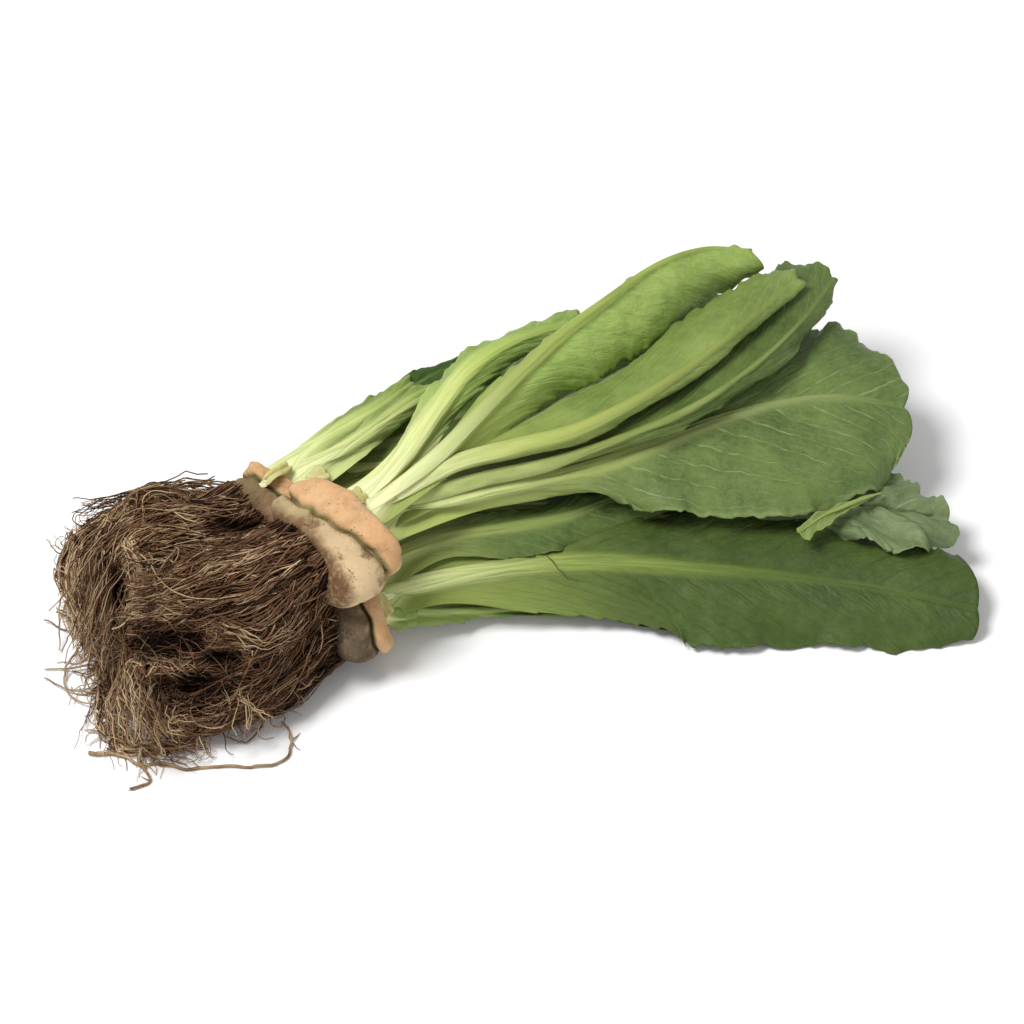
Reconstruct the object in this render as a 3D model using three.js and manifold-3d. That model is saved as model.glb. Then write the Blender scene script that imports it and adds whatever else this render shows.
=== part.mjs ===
// Romaine lettuce, sold living: three young plants lying on their side as one bunch.
// Each plant is a short stem with its leaves. The stem sits in a ring of soft foam, and below the
// foam the roots of all three have matted into one brown mass.
// Millimetres, +Z up. The bunch rests on z = 0 with its leaf tips towards +X.
import * as THREE from "three";
import { mergeVertices } from "three/addons/utils/BufferGeometryUtils.js";
import Module from "manifold-3d";

const wasm = await Module();
wasm.setup();

// Leaves are drawn as they look from the front, half way up the sky: across runs to the right, rise is
// how far up a point appears, and height is how far it is above the table.
const SIGHT_ANGLE = Math.PI / 4;

const LEAF_ROWS = 11;
const BLADE_THICKNESS = 0.8;
const RIB_PART = 0.4;
const TIP_BULGE = 0.12;
const COLUMNS = [-1, -0.7, -0.4, -0.2, 0, 0.2, 0.4, 0.7, 1];

const FOAM_STEPS = 26;
const FOAM_HOLE_RADIUS = 7.2;
const FOAM_GAP = 0.6;
const STEM_RADIUS = 6.6;
const NECK_RADIUS = 6.2;
const STEM_SIDES = 14;
const STEM_END_GAP = 0.5;

const BUNDLE_SIDES = 16;
const BUNDLE_ROWS = 9;
const STRANDS_PER_BUNDLE = 11;
const STRAND_RADIUS = 1.15;
const STRAND_SIDES = 3;
const SEED = 20261;

const COLOURS = { leaf: "#6f9440", foam: "#d9a671", root: "#5f4330" };

// A point of the drawing as a point of the bunch.
function place(across, rise, height) {
  const depth = (rise - height * Math.cos(SIGHT_ANGLE)) / Math.sin(SIGHT_ANGLE);
  return new THREE.Vector3(across, depth, height);
}

function smoothstep(low, high, x) {
  const s = Math.min(1, Math.max(0, (x - low) / (high - low)));
  return s * s * (3 - 2 * s);
}

// Each plant: the way its stem points, the middle of its foam ring and of the crown where the leaves
// start, the crown's radius, and the foam's half sizes: level, upright and along the stem.
const PLANTS = {
  back: { axis: [0.66, 0.73, 0.17], foam: [-79, 35, 29], size: [14, 13, 8], crown: 9.5, crownAt: 13.5 },
  front: { axis: [0.7, 0.67, 0.25], foam: [-55.5, 6.5, 45], size: [23, 14.5, 10.5], crown: 9, crownAt: 15.5 },
  low: { axis: [0.93, 0.25, 0.2], foam: [-50.5, 2.5, 16.5], size: [19, 14, 8.5], crown: 9, crownAt: 13 },
};

// The foam ring's outline across its wall, from the hole on the root side round to the hole on the
// leaf side: the share of its half thickness, and the share of the way from the hole to the rim. The
// dip in the middle is where the folded foam meets itself.
const FOAM_OUTLINE = [
  [-1, 0], [-1.02, 0.5], [-0.88, 0.86], [-0.55, 1], [-0.2, 0.95], [0, 0.78],
  [0.2, 0.92], [0.6, 0.97], [0.9, 0.82], [1.02, 0.45], [1, 0],
];

// Each root bundle: its middle line away from the foam, and its level and upright half widths there.
const BUNDLES = {
  back: {
    line: [[-97, 23, 24], [-113, 25, 19], [-128, 20, 15], [-134, 8, 10]],
    level: [12, 17, 20, 18, 14], upright: [12, 16, 18, 14, 10],
  },
  front: {
    line: [[-77, -6, 34], [-93, -12, 27], [-110, -15, 21], [-124, -14, 15]],
    level: [13, 19, 24, 24, 16], upright: [12, 18, 21, 20, 13],
  },
  low: {
    line: [[-70, -9, 14], [-85, -18, 12], [-102, -26, 10], [-118, -27, 8]],
    level: [12, 16, 19, 20, 15], upright: [11, 14, 14, 12, 8],
  },
};

// Single roots that stray from the mass, base first.
const STRAY_ROOTS = [
  [[-118, -20, 8], [-128, -34, 5], [-130, -43, 1.6], [-123, -50, 1.5], [-113, -54, 1.5], [-112, -63, 1.5]],
  [[-108, -28, 9], [-112, -42, 5], [-113, -50, 1.6], [-98, -53, 1.5], [-80, -51, 1.5], [-69, -47, 1.5],
    [-72, -33, 1.5]],
  [[-126, -14, 8], [-138, -11, 3], [-149, -12, 2]],
  [[-124, -20, 7], [-136, -18, 2.5], [-148, -16, 1.6]],
  [[-136, 12, 12], [-143, 0, 9], [-146, -4, 6], [-147, -8, 3]],
];

// Each leaf: the lines of its rib and of its two edges, each from base to tip. At the base the edges
// start beside the rib. Sag is how far each half blade bows, in millimetres. Wave is the height, the
// count and the start of the ripples at the edges. ribOutside is the share of the rib's depth that
// stands out on the face that looks up.
const LEAVES = [
  // The back plant.
  { name: "back_edge", plant: "back", stalk: 12, ribOutside: 0.6, sag: 1, wave: [0.8, 4, 0.4],
    rib: [[-69, 58, 38], [-56, 69, 42], [-42, 79, 43], [-22, 88, 42], [4, 95, 38]],
    rear: [[-60, 71, 42], [-43, 82.5, 44], [-20, 93, 43], [2, 99, 38]],
    front: [[-53, 68, 42], [-38, 77, 42], [-18, 85, 36], [6, 92, 32]] },
  { name: "back_rising", plant: "back", stalk: 12, ribOutside: 0.6, sag: 1, wave: [0.8, 4, 1.2],
    rib: [[-66, 57, 38], [-50, 66, 43], [-32, 77, 45], [-8, 88, 44], [22, 98, 40]],
    rear: [[-52, 69, 44], [-32, 82, 46], [-8, 94, 44], [18, 103, 40]],
    front: [[-46, 63, 42], [-28, 73, 42], [0, 82, 38], [26, 92, 35]] },
  { name: "back_crest", plant: "back", stalk: 12.5, ribOutside: 0.6, sag: 1.5, wave: [1.4, 4, 2],
    rib: [[-68, 57, 34], [-40, 66, 36], [-4, 79, 38], [36, 94, 39], [76, 106, 36]],
    rear: [[-41, 71, 37], [-8, 89, 38], [30, 106, 39], [72, 117, 36]],
    front: [[-36, 61, 34], [2, 69, 33], [44, 80, 32], [84, 96, 31]] },
  { name: "back_middle", plant: "back", stalk: 12.5, ribOutside: 0.6, sag: 1.5, wave: [1.4, 4, 0.2],
    rib: [[-66, 56, 30], [-48, 58, 33], [-12, 62, 29], [32, 72, 24], [86, 84, 20]],
    rear: [[-49, 61.5, 33], [-14, 71, 30], [28, 90, 27], [78, 98, 23]],
    front: [[-44, 54, 31], [-6, 55, 25], [38, 58, 18], [94, 72, 16]] },
  { name: "back_outer", plant: "back", stalk: 14, ribOutside: 0.3, sag: -2, wave: [1.6, 4, 1.6],
    rib: [[-70, 57, 28], [-42, 62, 20], [0, 69, 13], [46, 79, 9], [98, 83, 4]],
    rear: [[-42, 67, 20], [-2, 81, 13], [42, 93, 7], [94, 92, 2]],
    front: [[-38, 57, 17], [4, 59, 9], [52, 63, 6], [103, 73, 3]] },
  { name: "back_under", plant: "back", stalk: 14, ribOutside: 0.3, sag: -2, wave: [1.4, 4, 2.6],
    rib: [[-67, 52, 24], [-34, 47, 13], [10, 46, 6], [62, 50, 4], [116, 54, 3]],
    rear: [[-34, 52, 14], [8, 57, 7], [58, 65, 6], [112, 63, 4]],
    front: [[-31, 42, 11], [14, 36, 3], [66, 36, 1], [118, 46, 1.5]] },
  // The front plant.
  { name: "front_tall", plant: "front", stalk: 12, ribOutside: 0.6, sag: 1, wave: [0.8, 4, 0.8],
    rib: [[-47, 49, 49], [-35, 64, 54], [-21, 82, 58], [-2, 96, 57], [22, 106, 52]],
    rear: [[-41, 63, 55], [-28, 81, 58], [-9, 99, 56], [20, 109, 51]],
    front: [[-30, 63, 54], [-15, 79, 56], [6, 90, 52], [28, 103, 48]] },
  { name: "front_crest", plant: "front", stalk: 12, ribOutside: 0.6, sag: 4, wave: [1.2, 4, 1.4],
    rib: [[-44, 48, 51], [-21, 65, 61], [6, 88, 69], [32, 112, 72], [57, 126.5, 68], [79, 125.5, 60]],
    rear: [[-25, 66, 58], [1, 89, 62], [28, 112, 62], [57, 129.5, 60], [81, 127, 57]],
    front: [[-16, 64, 58], [12, 80, 56], [40, 97, 54], [65, 116, 54], [80, 122, 56]] },
  { name: "front_side", plant: "front", stalk: 12, ribOutside: 0.6, sag: 1.5, wave: [1, 4, 2.3],
    rib: [[-42, 46, 50], [-15, 62, 54], [14, 73, 58], [44, 86, 60], [72, 104, 58], [94, 122, 54]],
    rear: [[-18, 67, 54], [8, 80, 55], [36, 96, 55], [66, 116, 54], [91, 125, 53]],
    front: [[-12, 59, 51], [17, 69.5, 53], [48, 82, 54], [77, 101, 52], [97, 120, 51]] },
  { name: "front_under", plant: "front", stalk: 12, ribOutside: 0.6, sag: 1.5, wave: [1.2, 5, 0.3],
    rib: [[-41, 45, 47], [-10, 56, 47], [22, 68, 49], [54, 79, 50], [80, 97, 48], [102, 118, 45]],
    rear: [[-12, 60, 48], [20, 73, 49], [53, 88, 49], [80, 110, 47], [99, 124, 45]],
    front: [[-7, 52.5, 44], [26, 65, 45], [60, 75, 45], [88, 99, 42], [103, 113, 42]] },
  { name: "front_broad", plant: "front", stalk: 14, ribOutside: 0.6, sag: 2.5, wave: [1.8, 6, 1.1],
    rib: [[-39, 41, 43], [-10, 48, 42], [22, 55, 41], [56, 69, 40], [90, 85, 37], [128, 77, 28]],
    rear: [[-12, 53, 43], [18, 63, 42], [48, 82, 41], [84, 100, 40], [117, 94, 32]],
    front: [[-8, 43.5, 39], [26, 49, 36], [61, 41.5, 31], [97, 42, 24], [125, 60, 23]] },
  { name: "front_inner", plant: "front", stalk: 10.5, ribOutside: 0.6, sag: 1.5, wave: [1.4, 4, 2.8],
    rib: [[-41, 44, 43], [-6, 52, 36], [36, 62, 31], [76, 78, 30], [112, 92, 28]],
    rear: [[-8, 57, 37], [32, 74, 35], [72, 94, 35], [105, 101, 31]],
    front: [[-2, 47, 32], [42, 52, 25], [84, 62, 22], [118, 80, 24]] },
  // The low plant.
  { name: "low_inner", plant: "low", stalk: 12.5, ribOutside: 0.6, sag: 1, wave: [0.9, 4, 0.9],
    rib: [[-38, 22.5, 24], [-15, 33, 28], [10, 39, 29], [36, 45, 27], [66, 52, 25]],
    rear: [[-17, 38.5, 31], [8, 45, 30], [35, 52, 28], [64, 58, 26]],
    front: [[-12, 28.5, 26], [14, 32.5, 24], [42, 38, 23], [71, 46, 22]] },
  { name: "low_broad", plant: "low", stalk: 15, ribOutside: 0.4, sag: 2, wave: [1.2, 6, 2.1],
    rib: [[-40, 16, 19], [-16, 23, 22], [22, 27, 20], [62, 26, 16], [102, 23, 12], [150, 15, 8]],
    rear: [[-17, 29, 24], [20, 37, 24], [58, 47, 23], [99, 42, 18], [145, 29, 11]],
    front: [[-14, 16, 16], [23, 13, 9], [60, 0, 3], [102, 0.5, 1], [147, 3, 0.8]] },
  { name: "low_curled", plant: "low", stalk: 10.5, ribOutside: 0.5, sag: 2, wave: [2.4, 6, 0.5],
    rib: [[-38, 20, 21], [0, 33, 21], [46, 42, 19], [88, 45, 17], [117, 45, 17], [141, 41, 14]],
    rear: [[-1, 37, 23], [44, 50, 21], [88, 54, 18], [119, 56, 19], [138, 50, 16]],
    front: [[3, 29, 19], [50, 36, 15], [92, 37, 12], [121, 33, 10], [143, 34, 10]] },
  { name: "low_under", plant: "low", stalk: 12.5, ribOutside: 0.3, sag: -1, wave: [1, 4, 1.7],
    rib: [[-40, 12, 15], [-18, 13, 12], [18, 16.5, 7], [54, 15, 4.5], [88, 12, 3.5], [118, 10, 3]],
    rear: [[-18, 19, 14], [16, 23, 10], [50, 24, 8], [85, 21, 6], [116, 16, 4]],
    front: [[-16, 8.5, 9], [20, 11.5, 3], [56, 5, 1], [91, 3, 1], [114, 5, 1.5]] },
];

function railCurve(points) {
  return new THREE.CatmullRomCurve3(points, false, "catmullrom", 0.5);
}

// The three lines that a leaf is drawn from.
function leafRails(leaf) {
  const rib = leaf.rib.map((p) => place(...p));
  const heading = rib[1].clone().sub(rib[0]).normalize();
  const level = new THREE.Vector3().crossVectors(heading, THREE.Object3D.DEFAULT_UP).normalize();
  const beside = (sign) => rib[0].clone().addScaledVector(level, (sign * leaf.stalk) / 2);
  return {
    rib: railCurve(rib),
    front: railCurve([beside(1), ...leaf.front.map((p) => place(...p))]),
    rear: railCurve([beside(-1), ...leaf.rear.map((p) => place(...p))]),
  };
}

function stalkHalfWidth(leaf, t) {
  return (leaf.stalk / 2) * (1 - 0.78 * t);
}

// A point on the middle sheet of a leaf: t runs from base to tip, a from -1 (rear) to 1 (front).
// The inner part of a runs over the rib and the outer part over the rest of the half blade.
function leafPoint(leaf, rails, t, a) {
  const rib = rails.rib.getPoint(t);
  const edge = (a >= 0 ? rails.front : rails.rear).getPoint(t);
  const across = edge.clone().sub(rib);
  const width = across.length();
  const ribShare = Math.min(stalkHalfWidth(leaf, t) / width, 0.85);
  const size = Math.abs(a);
  const share = size < RIB_PART
    ? (size / RIB_PART) * ribShare
    : ribShare + ((size - RIB_PART) / (1 - RIB_PART)) * (1 - ribShare);
  const heading = rails.rib.getTangent(t);
  const up = new THREE.Vector3().crossVectors(across, heading).multiplyScalar(a >= 0 ? 1 : -1).normalize();
  const bow = 4 * leaf.sag * share * (1 - share) * smoothstep(0.1, 0.5, t);
  const [height, count, start] = leaf.wave;
  const phase = 2 * Math.PI * count * t + start + (a >= 0 ? 0 : 2);
  const ripple = height * Math.sin(phase) * share ** 2 * smoothstep(0.2, 0.5, t);
  const bluntness = TIP_BULGE * width * smoothstep(0.8, 1, t) * (share - share * share) * 4;
  return rib.addScaledVector(across, share).addScaledVector(up, bow + ripple)
    .addScaledVector(heading, bluntness);
}

// The rib's extra thickness at t, at a distance from its middle line.
function ribThickness(leaf, t, distance) {
  const reach = 0.9 * stalkHalfWidth(leaf, t);
  const depth = 0.42 * leaf.stalk * (1 - t) ** 1.3 + 0.8 * (1 - t);
  return depth * Math.exp(-((distance / reach) ** 3));
}

function leafSolid(leaf) {
  const rails = leafRails(leaf);
  const outer = [];
  const inner = [];
  const step = 0.004;
  for (let i = 0; i <= LEAF_ROWS; i++) {
    const t = i / LEAF_ROWS;
    const middle = leafPoint(leaf, rails, t, 0);
    for (const a of COLUMNS) {
      const here = leafPoint(leaf, rails, t, a);
      const ahead = leafPoint(leaf, rails, Math.min(1, t + step), a);
      const slopeAlong = ahead.sub(leafPoint(leaf, rails, Math.max(0, t - step), a));
      const slopeAcross = leafPoint(leaf, rails, t, a + step).sub(leafPoint(leaf, rails, t, a - step));
      const normal = new THREE.Vector3().crossVectors(slopeAcross, slopeAlong).normalize();
      const rib = ribThickness(leaf, t, here.distanceTo(middle));
      const half = BLADE_THICKNESS / 2;
      outer.push(here.clone().addScaledVector(normal, half + leaf.ribOutside * rib));
      inner.push(here.clone().addScaledVector(normal, -half - (1 - leaf.ribOutside) * rib));
    }
  }
  return shellSolid(outer, inner, LEAF_ROWS + 1, COLUMNS.length);
}

// A closed solid between two grids of points, split into triangles alike on both faces.
function shellSolid(outer, inner, rows, columns) {
  const vertices = [...outer, ...inner].flatMap((p) => p.toArray());
  const offset = rows * columns;
  const triangles = [];
  const quad = (a, b, c, d) => triangles.push(a, b, c, a, c, d);
  const at = (i, j) => i * columns + j;
  for (let i = 0; i < rows - 1; i++) {
    for (let j = 0; j < columns - 1; j++) {
      quad(at(i, j), at(i, j + 1), at(i + 1, j + 1), at(i + 1, j));
      quad(offset + at(i, j), offset + at(i + 1, j), offset + at(i + 1, j + 1), offset + at(i, j + 1));
    }
  }
  for (let i = 0; i < rows - 1; i++) {
    quad(at(i, 0), at(i + 1, 0), offset + at(i + 1, 0), offset + at(i, 0));
    const last = columns - 1;
    quad(at(i + 1, last), at(i, last), offset + at(i, last), offset + at(i + 1, last));
  }
  for (let j = 0; j < columns - 1; j++) {
    quad(at(0, j + 1), at(0, j), offset + at(0, j), offset + at(0, j + 1));
    const last = rows - 1;
    quad(at(last, j), at(last, j + 1), offset + at(last, j + 1), offset + at(last, j));
  }
  return solidFrom(vertices, triangles);
}

function solidFrom(vertices, triangles) {
  const made = new wasm.Manifold(
    new wasm.Mesh({
      numProp: 3,
      vertProperties: new Float32Array(vertices),
      triVerts: new Uint32Array(triangles),
    }),
  );
  if (made.volume() >= 0) return made;
  const turned = [];
  for (let i = 0; i < triangles.length; i += 3) {
    turned.push(triangles[i], triangles[i + 2], triangles[i + 1]);
  }
  return solidFrom(vertices, turned);
}

// A closed solid through rings of points, with a flat cap on the first and the last.
function ringSolid(rings) {
  const sides = rings[0].length;
  const vertices = rings.flat().flatMap((p) => p.toArray());
  const triangles = [];
  for (let i = 0; i < rings.length - 1; i++) {
    for (let j = 0; j < sides; j++) {
      const here = i * sides + j;
      const next = i * sides + ((j + 1) % sides);
      triangles.push(here, next, next + sides, here, next + sides, here + sides);
    }
  }
  const last = (rings.length - 1) * sides;
  for (let j = 1; j < sides - 1; j++) {
    triangles.push(0, j + 1, j, last, last + j, last + j + 1);
  }
  return solidFrom(vertices, triangles);
}

// A ring round a centre, in the plane of two directions.
function ring(centre, first, second, firstRadius, secondRadius, sides) {
  return Array.from({ length: sides }, (_, j) => {
    const angle = (2 * Math.PI * j) / sides;
    return centre.clone()
      .addScaledVector(first, firstRadius * Math.cos(angle))
      .addScaledVector(second, secondRadius * Math.sin(angle));
  });
}

// The directions of a plant's stem: along it, level across it, and upright across it.
function stemFrame(plant) {
  const axis = new THREE.Vector3(...plant.axis).normalize();
  const level = new THREE.Vector3().crossVectors(axis, THREE.Object3D.DEFAULT_UP).normalize();
  const upright = new THREE.Vector3().crossVectors(level, axis).normalize();
  return { axis, level, upright, centre: new THREE.Vector3(...plant.foam) };
}

// A round body along a plant's stem, from pairs of distance from the foam's middle and radius.
function stemSolid(plant, profile) {
  const { axis, level, upright, centre } = stemFrame(plant);
  return ringSolid(profile.map(([distance, radius]) =>
    ring(centre.clone().addScaledVector(axis, distance), level, upright, radius, radius, STEM_SIDES)));
}

// The foam's rim distance from the stem at an angle round it: an oval with soft lumps.
function foamReach(plant, angle) {
  const [level, upright] = plant.size;
  const oval = 1 / Math.hypot(Math.cos(angle) / level, Math.sin(angle) / upright);
  return oval * (1 + 0.035 * Math.sin(3 * angle + level) + 0.02 * Math.sin(5 * angle + 1));
}

// A soft ring round the stem. Grown makes it that much larger, and without its hole.
function foamSolid(plant, grown = 0) {
  const { axis, level, upright, centre } = stemFrame(plant);
  const vertices = [];
  const triangles = [];
  for (let i = 0; i < FOAM_STEPS; i++) {
    const angle = (2 * Math.PI * i) / FOAM_STEPS;
    const outward = level.clone().multiplyScalar(Math.cos(angle)).addScaledVector(upright, Math.sin(angle));
    const rim = foamReach(plant, angle) + grown;
    for (const [depth, share] of FOAM_OUTLINE) {
      const filledIn = grown > 0 && share === 0;
      const reach = filledIn ? 0.01 : FOAM_HOLE_RADIUS + (rim - FOAM_HOLE_RADIUS) * share;
      const point = centre.clone().addScaledVector(axis, depth * (plant.size[2] + grown))
        .addScaledVector(outward, reach);
      vertices.push(...point.toArray());
    }
  }
  const count = FOAM_OUTLINE.length;
  for (let i = 0; i < FOAM_STEPS; i++) {
    const next = (i + 1) % FOAM_STEPS;
    for (let j = 0; j < count; j++) {
      const k = (j + 1) % count;
      triangles.push(i * count + j, next * count + j, next * count + k);
      triangles.push(i * count + j, next * count + k, i * count + k);
    }
  }
  return solidFrom(vertices, triangles);
}

// One root bundle's middle line, starting just behind the foam.
function bundleCurve(name) {
  const plant = PLANTS[name];
  const { axis, centre } = stemFrame(plant);
  const start = centre.clone().addScaledVector(axis, -plant.size[2] - 1);
  return railCurve([start, ...BUNDLES[name].line.map((p) => new THREE.Vector3(...p))]);
}

// A value along a list of values spaced evenly from start to end.
function along(values, t) {
  const x = Math.min(Math.max(t, 0), 1) * (values.length - 1);
  const i = Math.min(Math.floor(x), values.length - 2);
  return values[i] + (values[i + 1] - values[i]) * (x - i);
}

// A point on a bundle's skin: u runs along it and angle round it.
function bundlePoint(name, curve, u, angle, share) {
  const heading = curve.getTangent(Math.min(u, 1));
  const level = new THREE.Vector3().crossVectors(heading, THREE.Object3D.DEFAULT_UP).normalize();
  const upright = new THREE.Vector3().crossVectors(level, heading).normalize();
  const lump = 1 + 0.06 * Math.sin(3 * angle + 9 * u) + 0.05 * Math.sin(2 * angle - 14 * u);
  const size = BUNDLES[name];
  return curve.getPoint(Math.min(u, 1))
    .addScaledVector(heading, 14 * Math.max(0, u - 1))
    .addScaledVector(level, along(size.level, u) * lump * share * Math.cos(angle))
    .addScaledVector(upright, along(size.upright, u) * lump * share * Math.sin(angle));
}

// The solid heart of a root bundle, drawn in at its far end.
function bundleSolid(name) {
  const curve = bundleCurve(name);
  const rings = [];
  for (let i = 0; i <= BUNDLE_ROWS; i++) {
    const u = (1.25 * i) / BUNDLE_ROWS;
    const share = u < 1 ? 1 : Math.sqrt(Math.max(0.04, 1 - ((u - 1) / 0.26) ** 2));
    rings.push(Array.from({ length: BUNDLE_SIDES }, (_, j) =>
      bundlePoint(name, curve, u, (2 * Math.PI * j) / BUNDLE_SIDES, share)));
  }
  return ringSolid(rings);
}

// A thin root through points, thinner towards its tip.
function strandSolid(points, radius) {
  const curve = railCurve(points);
  const rows = points.length + 1;
  const rings = [];
  let first = new THREE.Vector3(0.3, 0.2, 1);
  for (let i = 0; i <= rows; i++) {
    const t = i / rows;
    const heading = curve.getTangent(t);
    first = first.clone().addScaledVector(heading, -first.dot(heading)).normalize();
    const second = new THREE.Vector3().crossVectors(heading, first);
    const here = radius * (1 - 0.55 * t);
    rings.push(ring(curve.getPoint(t), first, second, here, here, STRAND_SIDES));
  }
  return ringSolid(rings);
}

function makeRandom(seed) {
  let state = seed;
  return () => {
    state = (state * 1664525 + 1013904223) % 4294967296;
    return state / 4294967296;
  };
}

// The thicker roots that lie in the skin of a bundle, each starting deep inside it.
function bundleStrands(name, random) {
  const curve = bundleCurve(name);
  return Array.from({ length: STRANDS_PER_BUNDLE }, (_, k) => {
    const start = 0.1 + 0.4 * random();
    const end = Math.min(1.3, start + 0.5 + 0.4 * random());
    const turn = (random() - 0.5) * 1.6;
    const angle = (2 * Math.PI * (k + random())) / STRANDS_PER_BUNDLE;
    const points = [];
    for (let i = 0; i <= 4; i++) {
      const s = i / 4;
      const u = start + (end - start) * s;
      const share = (i === 0 ? 0.75 : 1) * (u < 1 ? 1 : 1 - 1.6 * (u - 1));
      points.push(bundlePoint(name, curve, u, angle + turn * s + 0.25 * Math.sin(5 * s + k), share));
    }
    return strandSolid(points, STRAND_RADIUS * (0.8 + 0.4 * random()));
  });
}

function join(solids) {
  return solids.reduce((all, one) => all.add(one));
}

// The largest piece of a solid, filled: pockets closed in between leaves and loose crumbs go.
function filled(solid) {
  return solid.decompose().reduce((largest, piece) =>
    (piece.volume() > largest.volume() ? piece : largest));
}

// Everything below the table, to cut the bunch flat where it lies.
function belowTable() {
  const box = new THREE.BoxGeometry(600, 600, 100).translate(0, 0, -50);
  return solidOf(box);
}

function solidOf(geometry) {
  geometry.deleteAttribute("normal");
  geometry.deleteAttribute("uv");
  const merged = mergeVertices(geometry, 1e-4);
  return solidFrom(Array.from(merged.attributes.position.array), Array.from(merged.index.array));
}

// The space that the other plants' foam and the table take up.
function othersOf(name, spaces) {
  const names = Object.keys(spaces).filter((other) => other !== name);
  return join(names.map((other) => spaces[other]));
}

// A plant's stem in the foam, its crown, and its leaves.
function headSolid(name, spaces) {
  const plant = PLANTS[name];
  const crown = stemSolid(plant, [
    [plant.size[2] + 1, STEM_RADIUS],
    [plant.crownAt - 3, plant.crown],
    [plant.crownAt + 2, plant.crown],
    [plant.crownAt + 6, plant.crown * 0.5],
  ]);
  const stem = stemSolid(plant, [[STEM_END_GAP / 2, STEM_RADIUS - 0.8], [2, STEM_RADIUS],
    [plant.size[2] + 3, STEM_RADIUS]]);
  const leaves = LEAVES.filter((leaf) => leaf.plant === name).map(leafSolid);
  const outside = join([crown, ...leaves]).subtract(join(Object.values(spaces)));
  return filled(outside.add(stem.subtract(othersOf(name, spaces))));
}

// The three root bundles, matted together, with a neck up into each ring of foam.
function rootSolid(spaces) {
  const random = makeRandom(SEED);
  const names = Object.keys(BUNDLES);
  const mass = join([
    ...names.map(bundleSolid),
    ...names.flatMap((name) => bundleStrands(name, random)),
    ...STRAY_ROOTS.map((line) => strandSolid(line.map((p) => new THREE.Vector3(...p)), STRAND_RADIUS)),
  ]);
  const necks = names.map((name) => {
    const half = PLANTS[name].size[2];
    const neck = stemSolid(PLANTS[name],
      [[-half - 4, NECK_RADIUS], [-2, NECK_RADIUS], [-STEM_END_GAP / 2, NECK_RADIUS - 1.5]]);
    return neck.subtract(othersOf(name, spaces));
  });
  return filled(join([mass.subtract(join(Object.values(spaces))), ...necks]));
}

function meshOf(name, solid, colour) {
  const { vertProperties, triVerts } = solid.getMesh();
  const indexed = new THREE.BufferGeometry();
  indexed.setAttribute("position", new THREE.BufferAttribute(vertProperties, 3));
  indexed.setIndex(new THREE.BufferAttribute(triVerts, 1));
  const geometry = indexed.toNonIndexed();
  geometry.computeVertexNormals();
  const material = new THREE.MeshStandardMaterial({ color: colour, roughness: 0.6, metalness: 0 });
  const mesh = new THREE.Mesh(geometry, material);
  mesh.name = name;
  return mesh;
}

function buildBunch() {
  const spaces = { table: belowTable() };
  for (const name of Object.keys(PLANTS)) spaces[name] = foamSolid(PLANTS[name], FOAM_GAP);
  const backFoam = foamSolid(PLANTS.back).subtract(spaces.front);
  const lowFoam = foamSolid(PLANTS.low).subtract(join([spaces.front, spaces.table]));
  const bunch = new THREE.Group();
  bunch.name = "living_romaine";
  bunch.add(
    meshOf("head_back", headSolid("back", spaces), COLOURS.leaf),
    meshOf("head_front", headSolid("front", spaces), COLOURS.leaf),
    meshOf("head_low", headSolid("low", spaces), COLOURS.leaf),
    meshOf("plug_back", backFoam, COLOURS.foam),
    meshOf("plug_front", foamSolid(PLANTS.front), COLOURS.foam),
    meshOf("plug_low", lowFoam, COLOURS.foam),
    meshOf("root_mat", rootSolid(spaces), COLOURS.root),
  );
  const middle = new THREE.Box3().setFromObject(bunch).getCenter(new THREE.Vector3());
  for (const mesh of bunch.children) mesh.geometry.translate(-middle.x, -middle.y, 0);
  return bunch;
}

export default buildBunch();
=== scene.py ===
"""A bunch of living romaine: three plants with their foam rings and one matted mass of roots."""

import logging
import math
from dataclasses import dataclass, field
from enum import Enum

import bpy
import numpy as np
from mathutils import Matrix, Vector


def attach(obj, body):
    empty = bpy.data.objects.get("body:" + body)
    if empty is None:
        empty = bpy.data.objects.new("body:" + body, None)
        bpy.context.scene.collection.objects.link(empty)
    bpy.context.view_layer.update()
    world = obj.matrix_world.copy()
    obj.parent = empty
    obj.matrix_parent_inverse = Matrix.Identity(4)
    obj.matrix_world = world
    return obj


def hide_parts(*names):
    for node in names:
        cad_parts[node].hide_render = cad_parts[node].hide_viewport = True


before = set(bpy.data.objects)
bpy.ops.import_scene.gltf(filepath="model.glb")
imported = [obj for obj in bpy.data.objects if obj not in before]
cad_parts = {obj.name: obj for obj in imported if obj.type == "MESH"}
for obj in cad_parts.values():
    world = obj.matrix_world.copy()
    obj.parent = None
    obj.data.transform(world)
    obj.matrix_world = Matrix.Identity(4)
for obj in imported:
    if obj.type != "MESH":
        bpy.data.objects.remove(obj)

log = logging.getLogger("romaine")

BODY = "root"
MM = 0.001

# The drawing looks down from this angle, and this is the middle of the solid model's box in it.
SIGHT_ANGLE = math.radians(45.0)
BOX_MIDDLE = np.array([1.4512, 33.762, 0.0])

# A leaf's rib takes this part of its columns, and its tip bulges by this share of its width.
RIB_PART = 0.4
TIP_BULGE = 0.12
BLADE_THICKNESS = 0.5

# The lowest heights that points may have, so that strands of any girth stay above the table.
SHELL_FLOOR = 0.1
FOAM_FLOOR = 0.15
STRAND_FLOOR = 0.35
LOCK_FLOOR = 0.4

# What the seeds count from.
PLANT_SEED, PLANT_SEED_STEP = 100, 50
FOAM_SEED = 300
BUNDLE_SEED, BUNDLE_SEED_STEP = 500, 20
LOCK_SEED = 640
STRAY_SEED = 777


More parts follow.
